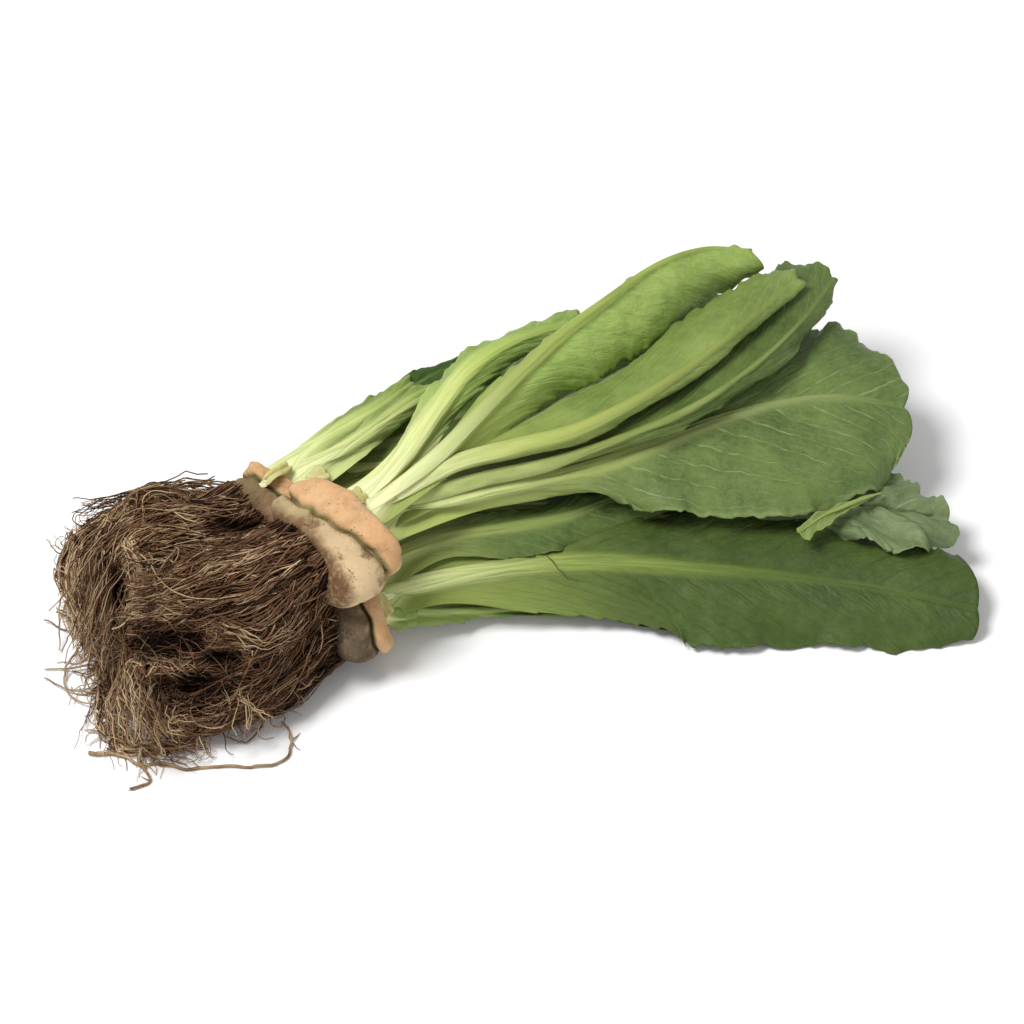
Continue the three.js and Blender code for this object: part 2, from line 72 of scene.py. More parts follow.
class Layer(Enum):
    """How far out in the bunch a leaf stands, which settles its colour. The shade layer is a darker
    copy of the leaf colours, painted shade for the leaves that lie under others, and the deep
    layer's outer green is also darkened as painted shade for the lowest leaf.
    """

    HEART = "heart"
    INNER = "inner"
    MIDDLE = "middle"
    OUTER = "outer"
    DEEP = "deep"
    SHADE = "shade"
    LIMP = "limp"
    SHEATH = "sheath"
    TORN = "torn"
    CREST = "crest"
    SIDE = "side"


class Slot(Enum):
    """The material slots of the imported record."""

    LEAF = "leaf"
    FOAM = "foam"
    ROOT = "root"


def linear(code: str) -> tuple[float, float, float, float]:
    """Turns a colour as seen on a screen into the linear values that shaders work in.

    Args:
        code: Six hexadecimal digits after a hash sign.

    Returns:
        Red, green, blue and an alpha of one.
    """
    parts = [int(code[i : i + 2], 16) / 255 for i in (1, 3, 5)]
    made = [p / 12.92 if p <= 0.04045 else ((p + 0.055) / 1.055) ** 2.4 for p in parts]
    return (made[0], made[1], made[2], 1.0)


def place(points: list[list[float]] | np.ndarray) -> np.ndarray:
    """Turns drawing points into points of the bunch, in millimetres.

    Args:
        points: Rows of across, rise and height.

    Returns:
        Rows of x, y and z.
    """
    p = np.asarray(points, float)
    depth = (p[:, 1] - p[:, 2] * math.cos(SIGHT_ANGLE)) / math.sin(SIGHT_ANGLE)
    return np.stack([p[:, 0], depth, p[:, 2]], axis=1)


def rise_of(points: np.ndarray) -> np.ndarray:
    """Says how far up in the drawing each row of x, y and z appears."""
    return points[:, 1] * math.sin(SIGHT_ANGLE) + points[:, 2] * math.cos(SIGHT_ANGLE)


def smoothstep(low: float, high: float, x: np.ndarray) -> np.ndarray:
    """Rises smoothly from 0 to 1.

    Args:
        low: Where it is 0.
        high: Where it is 1.
        x: The values to judge.

    Returns:
        One share for each value.
    """
    s = np.clip((x - low) / (high - low), 0, 1)
    return s * s * (3 - 2 * s)


def unit(v: np.ndarray) -> np.ndarray:
    """Scales vectors along the last axis to length one."""
    return v / np.maximum(np.linalg.norm(v, axis=-1, keepdims=True), 1e-9)


class SmoothNoise:
    """Smooth seeded noise over two coordinates, about one bump for each unit."""

    def __init__(self, seed: int) -> None:
        """Fills the lattice from the seed."""
        self.lattice = np.random.default_rng(seed).uniform(-1, 1, (64, 64))

    def __call__(self, x: np.ndarray | float, y: np.ndarray | float) -> np.ndarray:
        """Reads the noise at one or many places.

        Args:
            x: First coordinate.
            y: Second coordinate.

        Returns:
            Values between -1 and 1.
        """
        x, y = np.broadcast_arrays(np.asarray(x, float), np.asarray(y, float))
        i, j = np.floor(x).astype(int), np.floor(y).astype(int)
        u, v = x - i, y - j
        u, v = u * u * (3 - 2 * u), v * v * (3 - 2 * v)
        cell = self.lattice
        a = cell[i % 64, j % 64] * (1 - u) + cell[(i + 1) % 64, j % 64] * u
        b = cell[i % 64, (j + 1) % 64] * (1 - u) + cell[(i + 1) % 64, (j + 1) % 64] * u
        return a * (1 - v) + b * v


class Rail:
    """A smooth line through points, the same line as in the solid model."""

    def __init__(self, points: np.ndarray) -> None:
        """Keeps the points, with one more beyond each end.

        Args:
            points: Rows of x, y and z.
        """
        first, last = 2 * points[0] - points[1], 2 * points[-1] - points[-2]
        self.points = np.vstack([first, points, last])
        self.spans = len(points) - 1

    def at(self, t: np.ndarray) -> np.ndarray:
        """Points of the line.

        Args:
            t: Shares of the way along it.

        Returns:
            One row for each share.
        """
        x = np.clip(t, 0, 1) * self.spans
        i = np.minimum(np.floor(x).astype(int), self.spans - 1)
        w = (x - i)[:, None]
        p0, p1, p2, p3 = (self.points[i + k] for k in range(4))
        start, end = 0.5 * (p2 - p0), 0.5 * (p3 - p1)
        return (
            p1
            + start * w
            + (3 * (p2 - p1) - 2 * start - end) * w**2
            + (2 * (p1 - p2) + start + end) * w**3
        )

    def heading(self, t: np.ndarray) -> np.ndarray:
        """Unit directions of the line at shares of the way along it."""
        return unit(self.at(np.minimum(t + 1e-3, 1)) - self.at(np.maximum(t - 1e-3, 0)))


@dataclass(frozen=True)
class Patch:
    """A finished mesh in numbers, in millimetres of the solid model's drawing."""

    points: np.ndarray
    faces: list[tuple[int, ...]]
    marks: dict[str, np.ndarray] = field(default_factory=dict)
    chart: np.ndarray | None = None


def put(name: str, patch: Patch, material: bpy.types.Material) -> bpy.types.Object:
    """Makes a mesh object at the origin.

    Args:
        name: The piece's name.
        patch: Points, faces, point attributes and a flat chart of the surface.
        material: The piece's finish.

    Returns:
        The object, linked to the scene.
    """
    mesh = bpy.data.meshes.new(name)
    mesh.from_pydata(((patch.points - BOX_MIDDLE) * MM).tolist(), [], patch.faces)
    mesh.update()
    for key, values in patch.marks.items():
        attribute = mesh.attributes.new(key, "FLOAT", "POINT")
        attribute.data.foreach_set("value", np.asarray(values, np.float32))
    if patch.chart is not None:
        corners = np.empty(len(mesh.loops), np.int32)
        mesh.loops.foreach_get("vertex_index", corners)
        layer = mesh.uv_layers.new(name="UVMap")
        layer.data.foreach_set("uv", patch.chart[corners].astype(np.float32).ravel())
    mesh.polygons.foreach_set("use_smooth", np.ones(len(mesh.polygons), bool))
    mesh.materials.append(material)
    made = bpy.data.objects.new(name, mesh)
    bpy.context.scene.collection.objects.link(made)
    return made


def settle(piece: bpy.types.Object, slot: Slot, *nodes: str) -> bpy.types.Object:
    """Ties a finished piece to the frame.

    Args:
        piece: The object.
        slot: Not used.
        nodes: The solid nodes that it stands for.

    Returns:
        The same object.
    """
    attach(piece, BODY)
    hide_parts(*nodes)
    log.info("%s: %d faces", piece.name, len(piece.data.polygons))
    return piece


class Shade:
    """Short calls that add nodes to one tree."""

    def __init__(self, tree: bpy.types.NodeTree) -> None:
        """Keeps the tree that the nodes go into."""
        self.tree = tree

    def node(self, kind: str, **settings: object) -> bpy.types.Node:
        """Adds a node.

        Args:
            kind: Blender's name for the node type.
            settings: Properties to set on it.

        Returns:
            The new node.
        """
        made = self.tree.nodes.new(kind)
        for key, value in settings.items():
            setattr(made, key, value)
        return made

    def feed(self, socket: bpy.types.NodeSocket, source: object) -> None:
        """Links a socket to another socket, or sets its value.

        Args:
            socket: The input socket.
            source: Another socket, or a plain value.
        """
        if isinstance(source, bpy.types.NodeSocket):
            self.tree.links.new(source, socket)
        else:
            socket.default_value = source

    def wire(
        self, kind: str, inputs: dict[str | int, object], **settings: object
    ) -> bpy.types.NodeOutputs:
        """Adds a node and feeds its inputs.

        Args:
            kind: Blender's name for the node type.
            inputs: Sockets or plain values, by the input's name or place.
            settings: Properties to set on it.

        Returns:
            Its outputs.
        """
        made = self.node(kind, **settings)
        for key, source in inputs.items():
            self.feed(made.inputs[key], source)
        return made.outputs

    def math(self, operation: str, *values: object) -> bpy.types.NodeSocket:
        """Works out one number from others, such as a sum or a power.

        Args:
            operation: Blender's name for the sum.
            values: Up to three sockets or numbers.

        Returns:
            The result.
        """
        return self.wire("ShaderNodeMath", dict(enumerate(values)), operation=operation)[0]

    def ramp(
        self, value: object, low: float, high: float, a: object = 0.0, b: object = 1.0
    ) -> bpy.types.NodeSocket:
        """Eases a number from a to b while the value goes from low to high.

        Args:
            value: The socket that decides.
            low: The value where the result is a.
            high: The value where the result is b.
            a: The first result.
            b: The last result.

        Returns:
            The eased number.
        """
        inputs = {"Value": value, "From Min": low, "From Max": high, "To Min": a, "To Max": b}
        return self.wire("ShaderNodeMapRange", inputs, interpolation_type="SMOOTHSTEP")["Result"]

    def mix(self, amount: object, a: object, b: object) -> bpy.types.NodeSocket:
        """Blends one colour into another.

        Args:
            amount: How much of the second colour, from 0 to 1.
            a: The first colour, as a socket or as seen on a screen.
            b: The second colour, likewise.

        Returns:
            The blend.
        """
        a, b = (linear(c) if isinstance(c, str) else c for c in (a, b))
        return self.wire("ShaderNodeMix", {0: amount, 6: a, 7: b}, data_type="RGBA")[2]

    def stain(
        self, colour: bpy.types.NodeSocket, mask: object, strength: object, code: str
    ) -> bpy.types.NodeSocket:
        """Lays a colour over another one where a mask says so.

        Args:
            colour: The colour underneath.
            mask: Where the other one lies, from 0 to 1.
            strength: How strong it is there, as a number or a second mask.
            code: The other colour, as seen on a screen.

        Returns:
            The stained colour.
        """
        return self.mix(self.math("MULTIPLY", mask, strength), colour, code)

    def noise(
        self, where: object, scale: object, detail: float = 3.0, roughness: float = 0.5
    ) -> bpy.types.NodeSocket:
        """Adds smooth noise.

        Args:
            where: The place that it is read at.
            scale: Bumps for each unit.
            detail: Finer layers.
            roughness: How strong they are.

        Returns:
            Its value, about 0.5 on average.
        """
        inputs = {"Vector": where, "Scale": scale, "Detail": detail, "Roughness": roughness}
        return self.wire("ShaderNodeTexNoise", inputs)["Fac"]

    def cells(self, where: object, scale: object, feature: str = "F1") -> bpy.types.NodeSocket:
        """Adds a cell pattern.

        Args:
            where: The place that it is read at.
            scale: Cells for each unit.
            feature: What its distance is measured to.

        Returns:
            The distance.
        """
        inputs = {"Vector": where, "Scale": scale}
        return self.wire("ShaderNodeTexVoronoi", inputs, feature=feature)["Distance"]

    def place(self) -> bpy.types.NodeSocket:
        """The point on the object, in metres."""
        return self.node("ShaderNodeTexCoord").outputs["Object"]

    def chart(self) -> bpy.types.NodeSocket:
        """The piece's own flat chart."""
        return self.node("ShaderNodeUVMap", uv_map="UVMap").outputs["UV"]

    def mark(self, name: str) -> bpy.types.NodeSocket:
        """A point attribute of the piece, as a number."""
        return self.node("ShaderNodeAttribute", attribute_name=name).outputs["Fac"]

    def group(self, tree: bpy.types.NodeTree, **values: object) -> bpy.types.NodeOutputs:
        """Places a node group.

        Args:
            tree: The group.
            values: Its inputs, by name.

        Returns:
            The group's outputs, by name.
        """
        return self.wire("ShaderNodeGroup", values, node_tree=tree)

    def bump(
        self, height: object, strength: float, distance: float, normal: object = None
    ) -> bpy.types.NodeSocket:
        """Turns a height into a bent normal.

        Args:
            height: The height, from 0 to 1.
            strength: How much of it shows.
            distance: How high 1 is, in metres.
            normal: A normal that this one goes on top of.

        Returns:
            The bent normal.
        """
        inputs = {"Strength": strength, "Distance": distance, "Height": height}
        if normal is not None:
            inputs["Normal"] = normal
        return self.wire("ShaderNodeBump", inputs)["Normal"]


def new_group(
    name: str, inputs: dict[str, float], outputs: list[str]
) -> tuple[bpy.types.NodeTree, Shade, bpy.types.Node, bpy.types.Node]:
    """Starts a shader node group with named number sockets.

    Args:
        name: The group's name.
        inputs: Input names with their usual values. One named Where is a vector.
        outputs: Output names.

    Returns:
        The tree, a helper on it, and its input and output nodes.
    """
    tree = bpy.data.node_groups.new(name, "ShaderNodeTree")
    for key, usual in inputs.items():
        kind = "NodeSocketVector" if key == "Where" else "NodeSocketFloat"
        socket = tree.interface.new_socket(name=key, in_out="INPUT", socket_type=kind)
        if kind == "NodeSocketFloat":
            socket.default_value = usual
    for key in outputs:
        tree.interface.new_socket(name=key, in_out="OUTPUT", socket_type="NodeSocketFloat")
    shade = Shade(tree)
    return tree, shade, shade.node("NodeGroupInput"), shade.node("NodeGroupOutput")


@dataclass
class Effects:
    """The shader node groups that several finishes share."""

    veins: bpy.types.NodeTree | None = None
    mottle: bpy.types.NodeTree | None = None
    soil: bpy.types.NodeTree | None = None
    fibres: bpy.types.NodeTree | None = None

    def build(self) -> "Effects":
        """Builds every group once.

        Returns:
            This object.
        """
        self.veins = self.build_veins()
        self.mottle = self.build_mottle()
        self.soil = self.build_soil()
        self.fibres = self.build_fibres()
        return self

    def build_veins(self) -> bpy.types.NodeTree:
        """Side veins that leave the rib at an angle, with a fine net between them.

        Returns:
            The group. Its place is the leaf's chart, in centimetres across and along the leaf.
        """
        usual = {"Where": 0.0, "Spacing": 1.0, "Lean": 0.9, "Waver": 0.5, "Net": 4.0}
        tree, s, given, out = new_group("leaf_veins", usual, ["Veins", "Net", "Pillow", "Wrinkle"])
        where = given.outputs["Where"]
        parts = s.wire("ShaderNodeSeparateXYZ", {0: where})
        side = s.math("ABSOLUTE", parts["X"])
        hand = s.math("MULTIPLY", s.math("SIGN", parts["X"]), 0.37)
        bend = s.math("MULTIPLY", side, s.math("MULTIPLY_ADD", side, 0.16, given.outputs["Lean"]))
        wobble = s.math("SUBTRACT", s.noise(where, 0.9, 2.0), 0.5)
        waver = s.math("MULTIPLY", wobble, given.outputs["Waver"])
        line = s.math("ADD", s.math("SUBTRACT", parts["Y"], bend), s.math("ADD", waver, hand))
        phase = s.math("FRACT", s.math("DIVIDE", line, given.outputs["Spacing"]))
        away = s.math("SUBTRACT", 0.5, s.math("ABSOLUTE", s.math("SUBTRACT", phase, 0.5)))
        width = s.ramp(side, 0.0, 3.2, 0.085, 0.03)
        drawn = s.math("SUBTRACT", 1.0, s.math("MINIMUM", s.math("DIVIDE", away, width), 1.0))
        faded = s.ramp(s.noise(where, 1.6, 3.0), 0.38, 0.62, 0.2, 1.0)
        s.feed(out.inputs["Veins"], s.math("MULTIPLY", drawn, faded))
        steps = {"X": s.math("MULTIPLY", line, 3.8), "Y": s.math("MULTIPLY", parts["X"], 3.0)}
        aligned = s.wire("ShaderNodeCombineXYZ", steps)
        s.feed(out.inputs["Wrinkle"], s.noise(aligned[0], 1.0, 4.0, 0.6))
        wander = s.wire("ShaderNodeTexNoise", {"Vector": where, "Scale": 2.2})
        shift = {0: wander["Color"], "Scale": 0.35}
        shift = s.wire("ShaderNodeVectorMath", shift, operation="SCALE")
        crooked = s.wire("ShaderNodeVectorMath", {0: where, 1: shift[0]}, operation="ADD")
        edge = s.cells(crooked[0], given.outputs["Net"], "DISTANCE_TO_EDGE")
        s.feed(out.inputs["Net"], s.ramp(edge, 0.0, 0.11, 1.0, 0.0))
        pillow = s.math("MULTIPLY", s.ramp(away, 0.0, 0.35), s.ramp(edge, 0.0, 0.4, 0.75, 1.0))
        s.feed(out.inputs["Pillow"], pillow)
        return tree

    def build_mottle(self) -> bpy.types.NodeTree:
        """Soft blotches of two sizes, for colour that is never even.

        Returns:
            The group.
        """
        usual = {"Where": 0.0, "Scale": 60.0, "Contrast": 1.0}
        tree, s, given, out = new_group("mottle", usual, ["Mask", "Fine"])
        large = s.noise(given.outputs["Where"], given.outputs["Scale"], 4.0, 0.55)
        contrast = s.math("MULTIPLY", given.outputs["Contrast"], 2.6)
        spread = s.math("MULTIPLY", s.math("SUBTRACT", large, 0.5), contrast)
        raised = s.math("MAXIMUM", s.math("ADD", spread, 0.5), 0.0)
        s.feed(out.inputs["Mask"], s.math("MINIMUM", raised, 1.0))
        finer = s.math("MULTIPLY", given.outputs["Scale"], 7.0)
        s.feed(out.inputs["Fine"], s.noise(given.outputs["Where"], finer, 5.0, 0.65))
        return tree

    def build_soil(self) -> bpy.types.NodeTree:
        """Smears and grains of soil, more of them where the cover is high.

        Returns:
            The group.
        """
        usual = {"Where": 0.0, "Cover": 0.3, "Scale": 120.0}
        tree, s, given, out = new_group("soil", usual, ["Smear", "Grains"])
        where, scale = given.outputs["Where"], given.outputs["Scale"]
        smear = s.noise(where, scale, 6.0, 0.7)
        level = s.math("SUBTRACT", 0.78, s.math("MULTIPLY", given.outputs["Cover"], 0.5))
        s.feed(out.inputs["Smear"], s.ramp(s.math("SUBTRACT", smear, level), -0.04, 0.1))
        grains = s.cells(where, s.math("MULTIPLY", scale, 7.0))
        gate = s.noise(where, s.math("MULTIPLY", scale, 1.7), 3.0)
        largest = s.math("MULTIPLY_ADD", given.outputs["Cover"], 0.35, 0.12)
        size = s.math("MULTIPLY", s.ramp(gate, 0.42, 0.72), largest)
        s.feed(out.inputs["Grains"], s.ramp(s.math("SUBTRACT", size, grains), 0.0, 0.08))
        return tree

    def build_fibres(self) -> bpy.types.NodeTree:
        """Fine lengthways ridges, as on a leaf stalk.

        Returns:
            The group.
        """
        usual = {"Where": 0.0, "Ridges": 5.0, "Stretch": 0.06}
        tree, s, given, out = new_group("fibres", usual, ["Ridge"])
        where, ridges = given.outputs["Where"], given.outputs["Ridges"]
        slow = s.math("MULTIPLY", ridges, given.outputs["Stretch"])
        shape = s.wire("ShaderNodeCombineXYZ", {"X": ridges, "Y": slow})
        squeezed = s.wire("ShaderNodeVectorMath", {0: where, 1: shape[0]}, operation="MULTIPLY")
        s.feed(out.inputs["Ridge"], s.noise(squeezed[0], 1.0, 4.0, 0.6))
        return tree


def new_material(name: str) -> tuple[bpy.types.Material, Shade, bpy.types.Node]:
    """Starts a material.

    Args:
        name: The finish's name.

    Returns:
        The material, a helper on its tree, and its Principled shader.
    """
    made = bpy.data.materials.new(name)
    made.use_nodes = True
    return made, Shade(made.node_tree), made.node_tree.nodes["Principled BSDF"]


@dataclass(frozen=True)
class LeafFinish:
    """The look of one layer of leaves: colours as seen on a screen."""

    blade: str
    deep: str
    line: str
    rib: str
    stalk: str
    base: str
    under: str
    gloss: float = 0.5
    lines: float = 0.5

    def build(self, name: str, effects: Effects) -> bpy.types.Material:
        """Makes the leaf material.

        Args:
            name: The layer's name.
            effects: The shared node groups.

        Returns:
            The material.
        """
        made, s, shader = new_material(f"leaf_{name}")
        chart, where = s.chart(), s.place()
        rib, along, face, share = s.mark("rib"), s.mark("along"), s.mark("face"), s.mark("share")
        veins = s.group(effects.veins, Where=chart, Spacing=1.15, Lean=1.05, Waver=0.6, Net=3.3)
        blotch = s.group(effects.mottle, Where=where, Scale=55.0, Contrast=1.2)
        ridges = s.group(effects.fibres, Where=chart, Ridges=7.0, Stretch=0.05)
        open_blade = s.math("MULTIPLY", s.ramp(along, 0.15, 0.45), s.math("SUBTRACT", 1.0, rib))
        colour = s.mix(blotch["Mask"], self.deep, self.blade)
        colour = s.stain(colour, s.ramp(blotch["Fine"], 0.35, 0.7), 0.3, self.under)
        colour = s.mix(s.ramp(along, 0.1, 0.55, 0.9, 0.0), colour, self.stalk)
        drawn = s.math("MULTIPLY", veins["Veins"], self.lines)
        lines = s.math("MAXIMUM", drawn, s.math("MULTIPLY", veins["Net"], 0.09))
        colour = s.stain(colour, lines, open_blade, self.line)
        # Painted shade in the sunken parts between the pillows and in the creases of the wrinkles,
        # and a painted highlight, in the underside colour, on the wrinkles' crests.
        sunken = s.math("SUBTRACT", 1.0, veins["Pillow"])
        shadow = s.math("MULTIPLY", sunken, s.math("MULTIPLY", open_blade, 0.14))
        colour = s.stain(colour, shadow, s.math("SUBTRACT", 1.0, lines), self.deep)
        crease_shade = s.ramp(veins["Wrinkle"], 0.47, 0.34, 0.0, 0.27)
        colour = s.stain(colour, crease_shade, open_blade, self.deep)
        lit = s.ramp(veins["Wrinkle"], 0.55, 0.7, 0.0, 0.2)
        colour = s.stain(colour, lit, open_blade, self.under)
        margin = s.math("MULTIPLY", s.ramp(share, 0.93, 1.0), 0.35)
        colour = s.stain(colour, margin, open_blade, self.rib)
        colour = s.stain(colour, s.math("SUBTRACT", 1.0, face), 0.35, self.under)
        pale = s.mix(s.ramp(along, 0.08, 0.45), self.base, self.stalk)
        pale = s.mix(s.ramp(along, 0.35, 0.8), pale, self.rib)
        pale = s.stain(pale, s.ramp(ridges["Ridge"], 0.36, 0.66), 0.5, self.blade)
        ribbed = s.math("MULTIPLY", rib, s.ramp(along, 0.55, 1.0, 1.0, 0.35))
        colour = s.mix(ribbed, colour, pale)
        specks = s.group(effects.soil, Where=where, Cover=0.04, Scale=150.0)
        colour = s.stain(colour, specks["Grains"], 0.45, "#6f6136")
        s.feed(shader.inputs["Base Color"], colour)
        rough = s.math("MULTIPLY_ADD", blotch["Fine"], 0.24, self.gloss - 0.14)
        s.feed(shader.inputs["Roughness"], rough)
        shader.inputs["Specular IOR Level"].default_value = 0.24
        shader.inputs["Subsurface Weight"].default_value = 0.1
        shader.inputs["Subsurface Radius"].default_value = (0.5, 1.0, 0.15)
        shader.inputs["Subsurface Scale"].default_value = 0.001
        wrinkled = s.math("MULTIPLY", s.ramp(veins["Wrinkle"], 0.32, 0.68), 0.7)
        relief = s.math("SUBTRACT", veins["Pillow"], veins["Veins"])
        relief = s.math("MULTIPLY_ADD", relief, 0.5, wrinkled)
        normal = s.bump(s.math("MULTIPLY", relief, open_blade), 0.45, 0.0007)
        stalky = s.math("MAXIMUM", rib, s.ramp(along, 0.1, 0.4, 1.0, 0.0))
        streaks = s.math("MULTIPLY", ridges["Ridge"], stalky)
        normal = s.bump(streaks, 0.75, 0.0007, normal)
        normal = s.bump(s.noise(where, 1400.0, 3.0), 0.16, 0.0002, normal)
        s.feed(shader.inputs["Normal"], normal)
        return made


# Blade, its darker parts and painted shade, side veins, rib, stalk, base of the stalk, and
# underside, which also tints a painted highlight.
LEAF_FINISHES = {
    Layer.CREST: LeafFinish(
        "#a0b660", "#7a9444", "#b3c277", "#808e3e", "#8f9a52", "#e4e4b0", "#a9bb73"
    ),
    Layer.SIDE: LeafFinish(
        "#86994f", "#657a38", "#9ca969", "#848d45", "#a8b160", "#e0e2a8", "#93a361"
    ),
    Layer.HEART: LeafFinish(
        "#9bb05e", "#769042", "#b3c277", "#b8c768", "#d8dc98", "#eae9bd", "#a9bb73"
    ),
    Layer.INNER: LeafFinish(
        "#86994f", "#657a38", "#9ca969", "#b3c070", "#c7d188", "#e0e4aa", "#93a361"
    ),
    Layer.MIDDLE: LeafFinish(
        "#5d7137", "#425625", "#7b8a50", "#7d8b4e", "#87924f", "#bdc67e", "#748549"
    ),
    Layer.OUTER: LeafFinish(
        "#667b3e", "#485c29", "#95a372", "#949f66", "#a5b063", "#dadf9b", "#7a8b5a", lines=0.75
    ),
    # The deep layer is darkened as painted shade for the lowest leaf, and the shade layer is a
    # darker copy, painted shade for the leaves that lie under others.
    Layer.DEEP: LeafFinish(
        "#485a26", "#36471b", "#3a4a20", "#52662a", "#8b9b4c", "#dbe2a0", "#566931", lines=0.85
    ),
    Layer.SHADE: LeafFinish(
        "#3f5824", "#293f16", "#536a32", "#647b38", "#92a455", "#c3cd86", "#4f6634"
    ),
    Layer.LIMP: LeafFinish(
        "#76855a", "#566740", "#939e72", "#8a9768", "#98a562", "#b6c080", "#87946e"
    ),
    Layer.SHEATH: LeafFinish(
        "#cdc98a", "#a9a25e", "#d8d4a2", "#dad7a4", "#dcd8a8", "#e3dfb6", "#bdae78", gloss=0.55
    ),
    Layer.TORN: LeafFinish(
        "#7f904c", "#617338", "#93a160", "#8a9956", "#8a9956", "#8a9956", "#8a9858"
    ),
}


@dataclass(frozen=True)
class FoamFinish:
    """The look of a foam ring: the two folds of foam, and what stains it."""

    leaf_fold: str
    root_fold: str
    algae: str
    dirt: str
    grime: float

    def build(self, name: str, effects: Effects) -> bpy.types.Material:
        """Makes the foam material.

        Args:
            name: The ring's name.
            effects: The shared node groups.

        Returns:
            The material.
        """
        made, s, shader = new_material(f"foam_{name}")
        where = s.place()
        depth, groove, turn = s.mark("depth"), s.mark("groove"), s.mark("turn")
        blotch = s.group(effects.mottle, Where=where, Scale=90.0, Contrast=1.1)
        soil = s.group(effects.soil, Where=where, Cover=self.grime, Scale=130.0)
        wobble = s.math("MULTIPLY_ADD", blotch["Mask"], 0.3, -0.15)
        fold = s.ramp(s.math("ADD", depth, wobble), -0.12, 0.12)
        colour = s.mix(fold, self.root_fold, self.leaf_fold)
        colour = s.stain(colour, blotch["Mask"], s.ramp(fold, 0.0, 1.0, 0.1, 0.3), "#ecd2b0")
        colour = s.stain(colour, s.ramp(blotch["Fine"], 0.5, 0.75), 0.3, "#b98352")
        damp = s.ramp(blotch["Mask"], 0.1, 0.8, 0.6, 1.0)
        colour = s.stain(colour, groove, damp, self.algae)
        mossy = s.math("MULTIPLY", s.ramp(depth, 0.05, -0.2), s.ramp(turn, 0.75, 0.1, 0.0, 0.5))
        patches = s.ramp(blotch["Mask"], 0.2, 0.8, 0.4, 1.0)
        colour = s.stain(colour, mossy, patches, self.algae)
        worn = s.ramp(blotch["Fine"], 0.3, 0.6, 0.45, 0.9)
        worn = s.math("MULTIPLY", worn, s.ramp(groove, 0.0, 1.0, 1.0, 0.4))
        edge = s.ramp(turn, 0.2, 0.85, -0.4, -0.8)
        colour = s.stain(colour, s.ramp(depth, edge, -1.0), worn, self.dirt)
        colour = s.stain(colour, soil["Smear"], s.ramp(fold, 0.0, 1.0, 0.75, 0.2), self.dirt)
        colour = s.mix(soil["Grains"], colour, "#2e241b")
        s.feed(shader.inputs["Base Color"], colour)
        s.feed(shader.inputs["Roughness"], s.ramp(soil["Smear"], 0.0, 1.0, 0.82, 0.6))
        shader.inputs["Specular IOR Level"].default_value = 0.25
        shader.inputs["Subsurface Weight"].default_value = 0.15
        shader.inputs["Subsurface Radius"].default_value = (1.0, 0.6, 0.3)
        shader.inputs["Subsurface Scale"].default_value = 0.0015
        normal = s.bump(s.ramp(s.cells(where, 1500.0), 0.05, 0.5), 0.35, 0.0004)
        normal = s.bump(blotch["Fine"], 0.5, 0.0008, normal)
        s.feed(shader.inputs["Normal"], normal)
        return made


# The fold at the leaves, the fold at the roots, algae, dirt, and how much soil lies on it.
FOAM_FINISHES = {
    "back": FoamFinish("#bf9260", "#86664a", "#454c26", "#47331f", 0.42),
    "front": FoamFinish("#c99c6c", "#c6ad86", "#66622f", "#6a4a2c", 0.5),
    # The low ring's root fold, algae and dirt are darker than on the others: partly real staining,
    # partly painted shade for the shade it lies in below the front ring.
    "low": FoamFinish("#b98f60", "#3f3220", "#3d3e20", "#2b2016", 0.45),
}


@dataclass(frozen=True)
class RootFinish:
    """The look of roots, from the near-black that paints the shade deep in the mass and the darkest
    roots, to the pale dry strands.
    """

    dark: str = "#180f0a"
    brown: str = "#71513a"
    tan: str = "#c0a783"
    shine: float = 0.62

    def build(self, name: str, effects: Effects) -> bpy.types.Material:
        """Makes the root material, whose tint mark picks the strand's colour.

        Args:
            name: What the material is for.
            effects: The shared node groups.

        Returns:
            The material.
        """
        made, s, shader = new_material(f"root_{name}")
        where, tint = s.place(), s.mark("tint")
        blotch = s.group(effects.mottle, Where=where, Scale=140.0, Contrast=1.2)
        shift = s.math("ADD", tint, s.math("MULTIPLY_ADD", blotch["Mask"], 0.3, -0.15))
        colour = s.mix(s.ramp(shift, 0.05, 0.5), self.dark, self.brown)
        colour = s.mix(s.ramp(shift, 0.5, 1.0), colour, self.tan)
        colour = s.stain(colour, s.ramp(blotch["Fine"], 0.55, 0.75), 0.4, self.dark)
        s.feed(shader.inputs["Base Color"], colour)
        s.feed(shader.inputs["Roughness"], s.math("MULTIPLY_ADD", blotch["Fine"], 0.3, self.shine))
        shader.inputs["Specular IOR Level"].default_value = 0.1
        s.feed(shader.inputs["Normal"], s.bump(blotch["Fine"], 0.6, 0.0005))
        return made


@dataclass(frozen=True)
class LeafSpec:
    """One leaf as drawn: the lines of its rib and edges, and how its blade behaves."""

    name: str
    layer: Layer
    stalk: float
    outside: float
    sag: float
    wave: tuple[float, float, float]
    rib: list[list[float]]
    rear: list[list[float]]
    front: list[list[float]]
    frill: float = 0.8
    pucker: float = 0.35
    ragged: float = 0.03
    crease: float = 0.0
    rear_sag: float | None = None
    taper: float = 1.7
    rows: int = 110
    side_columns: int = 22


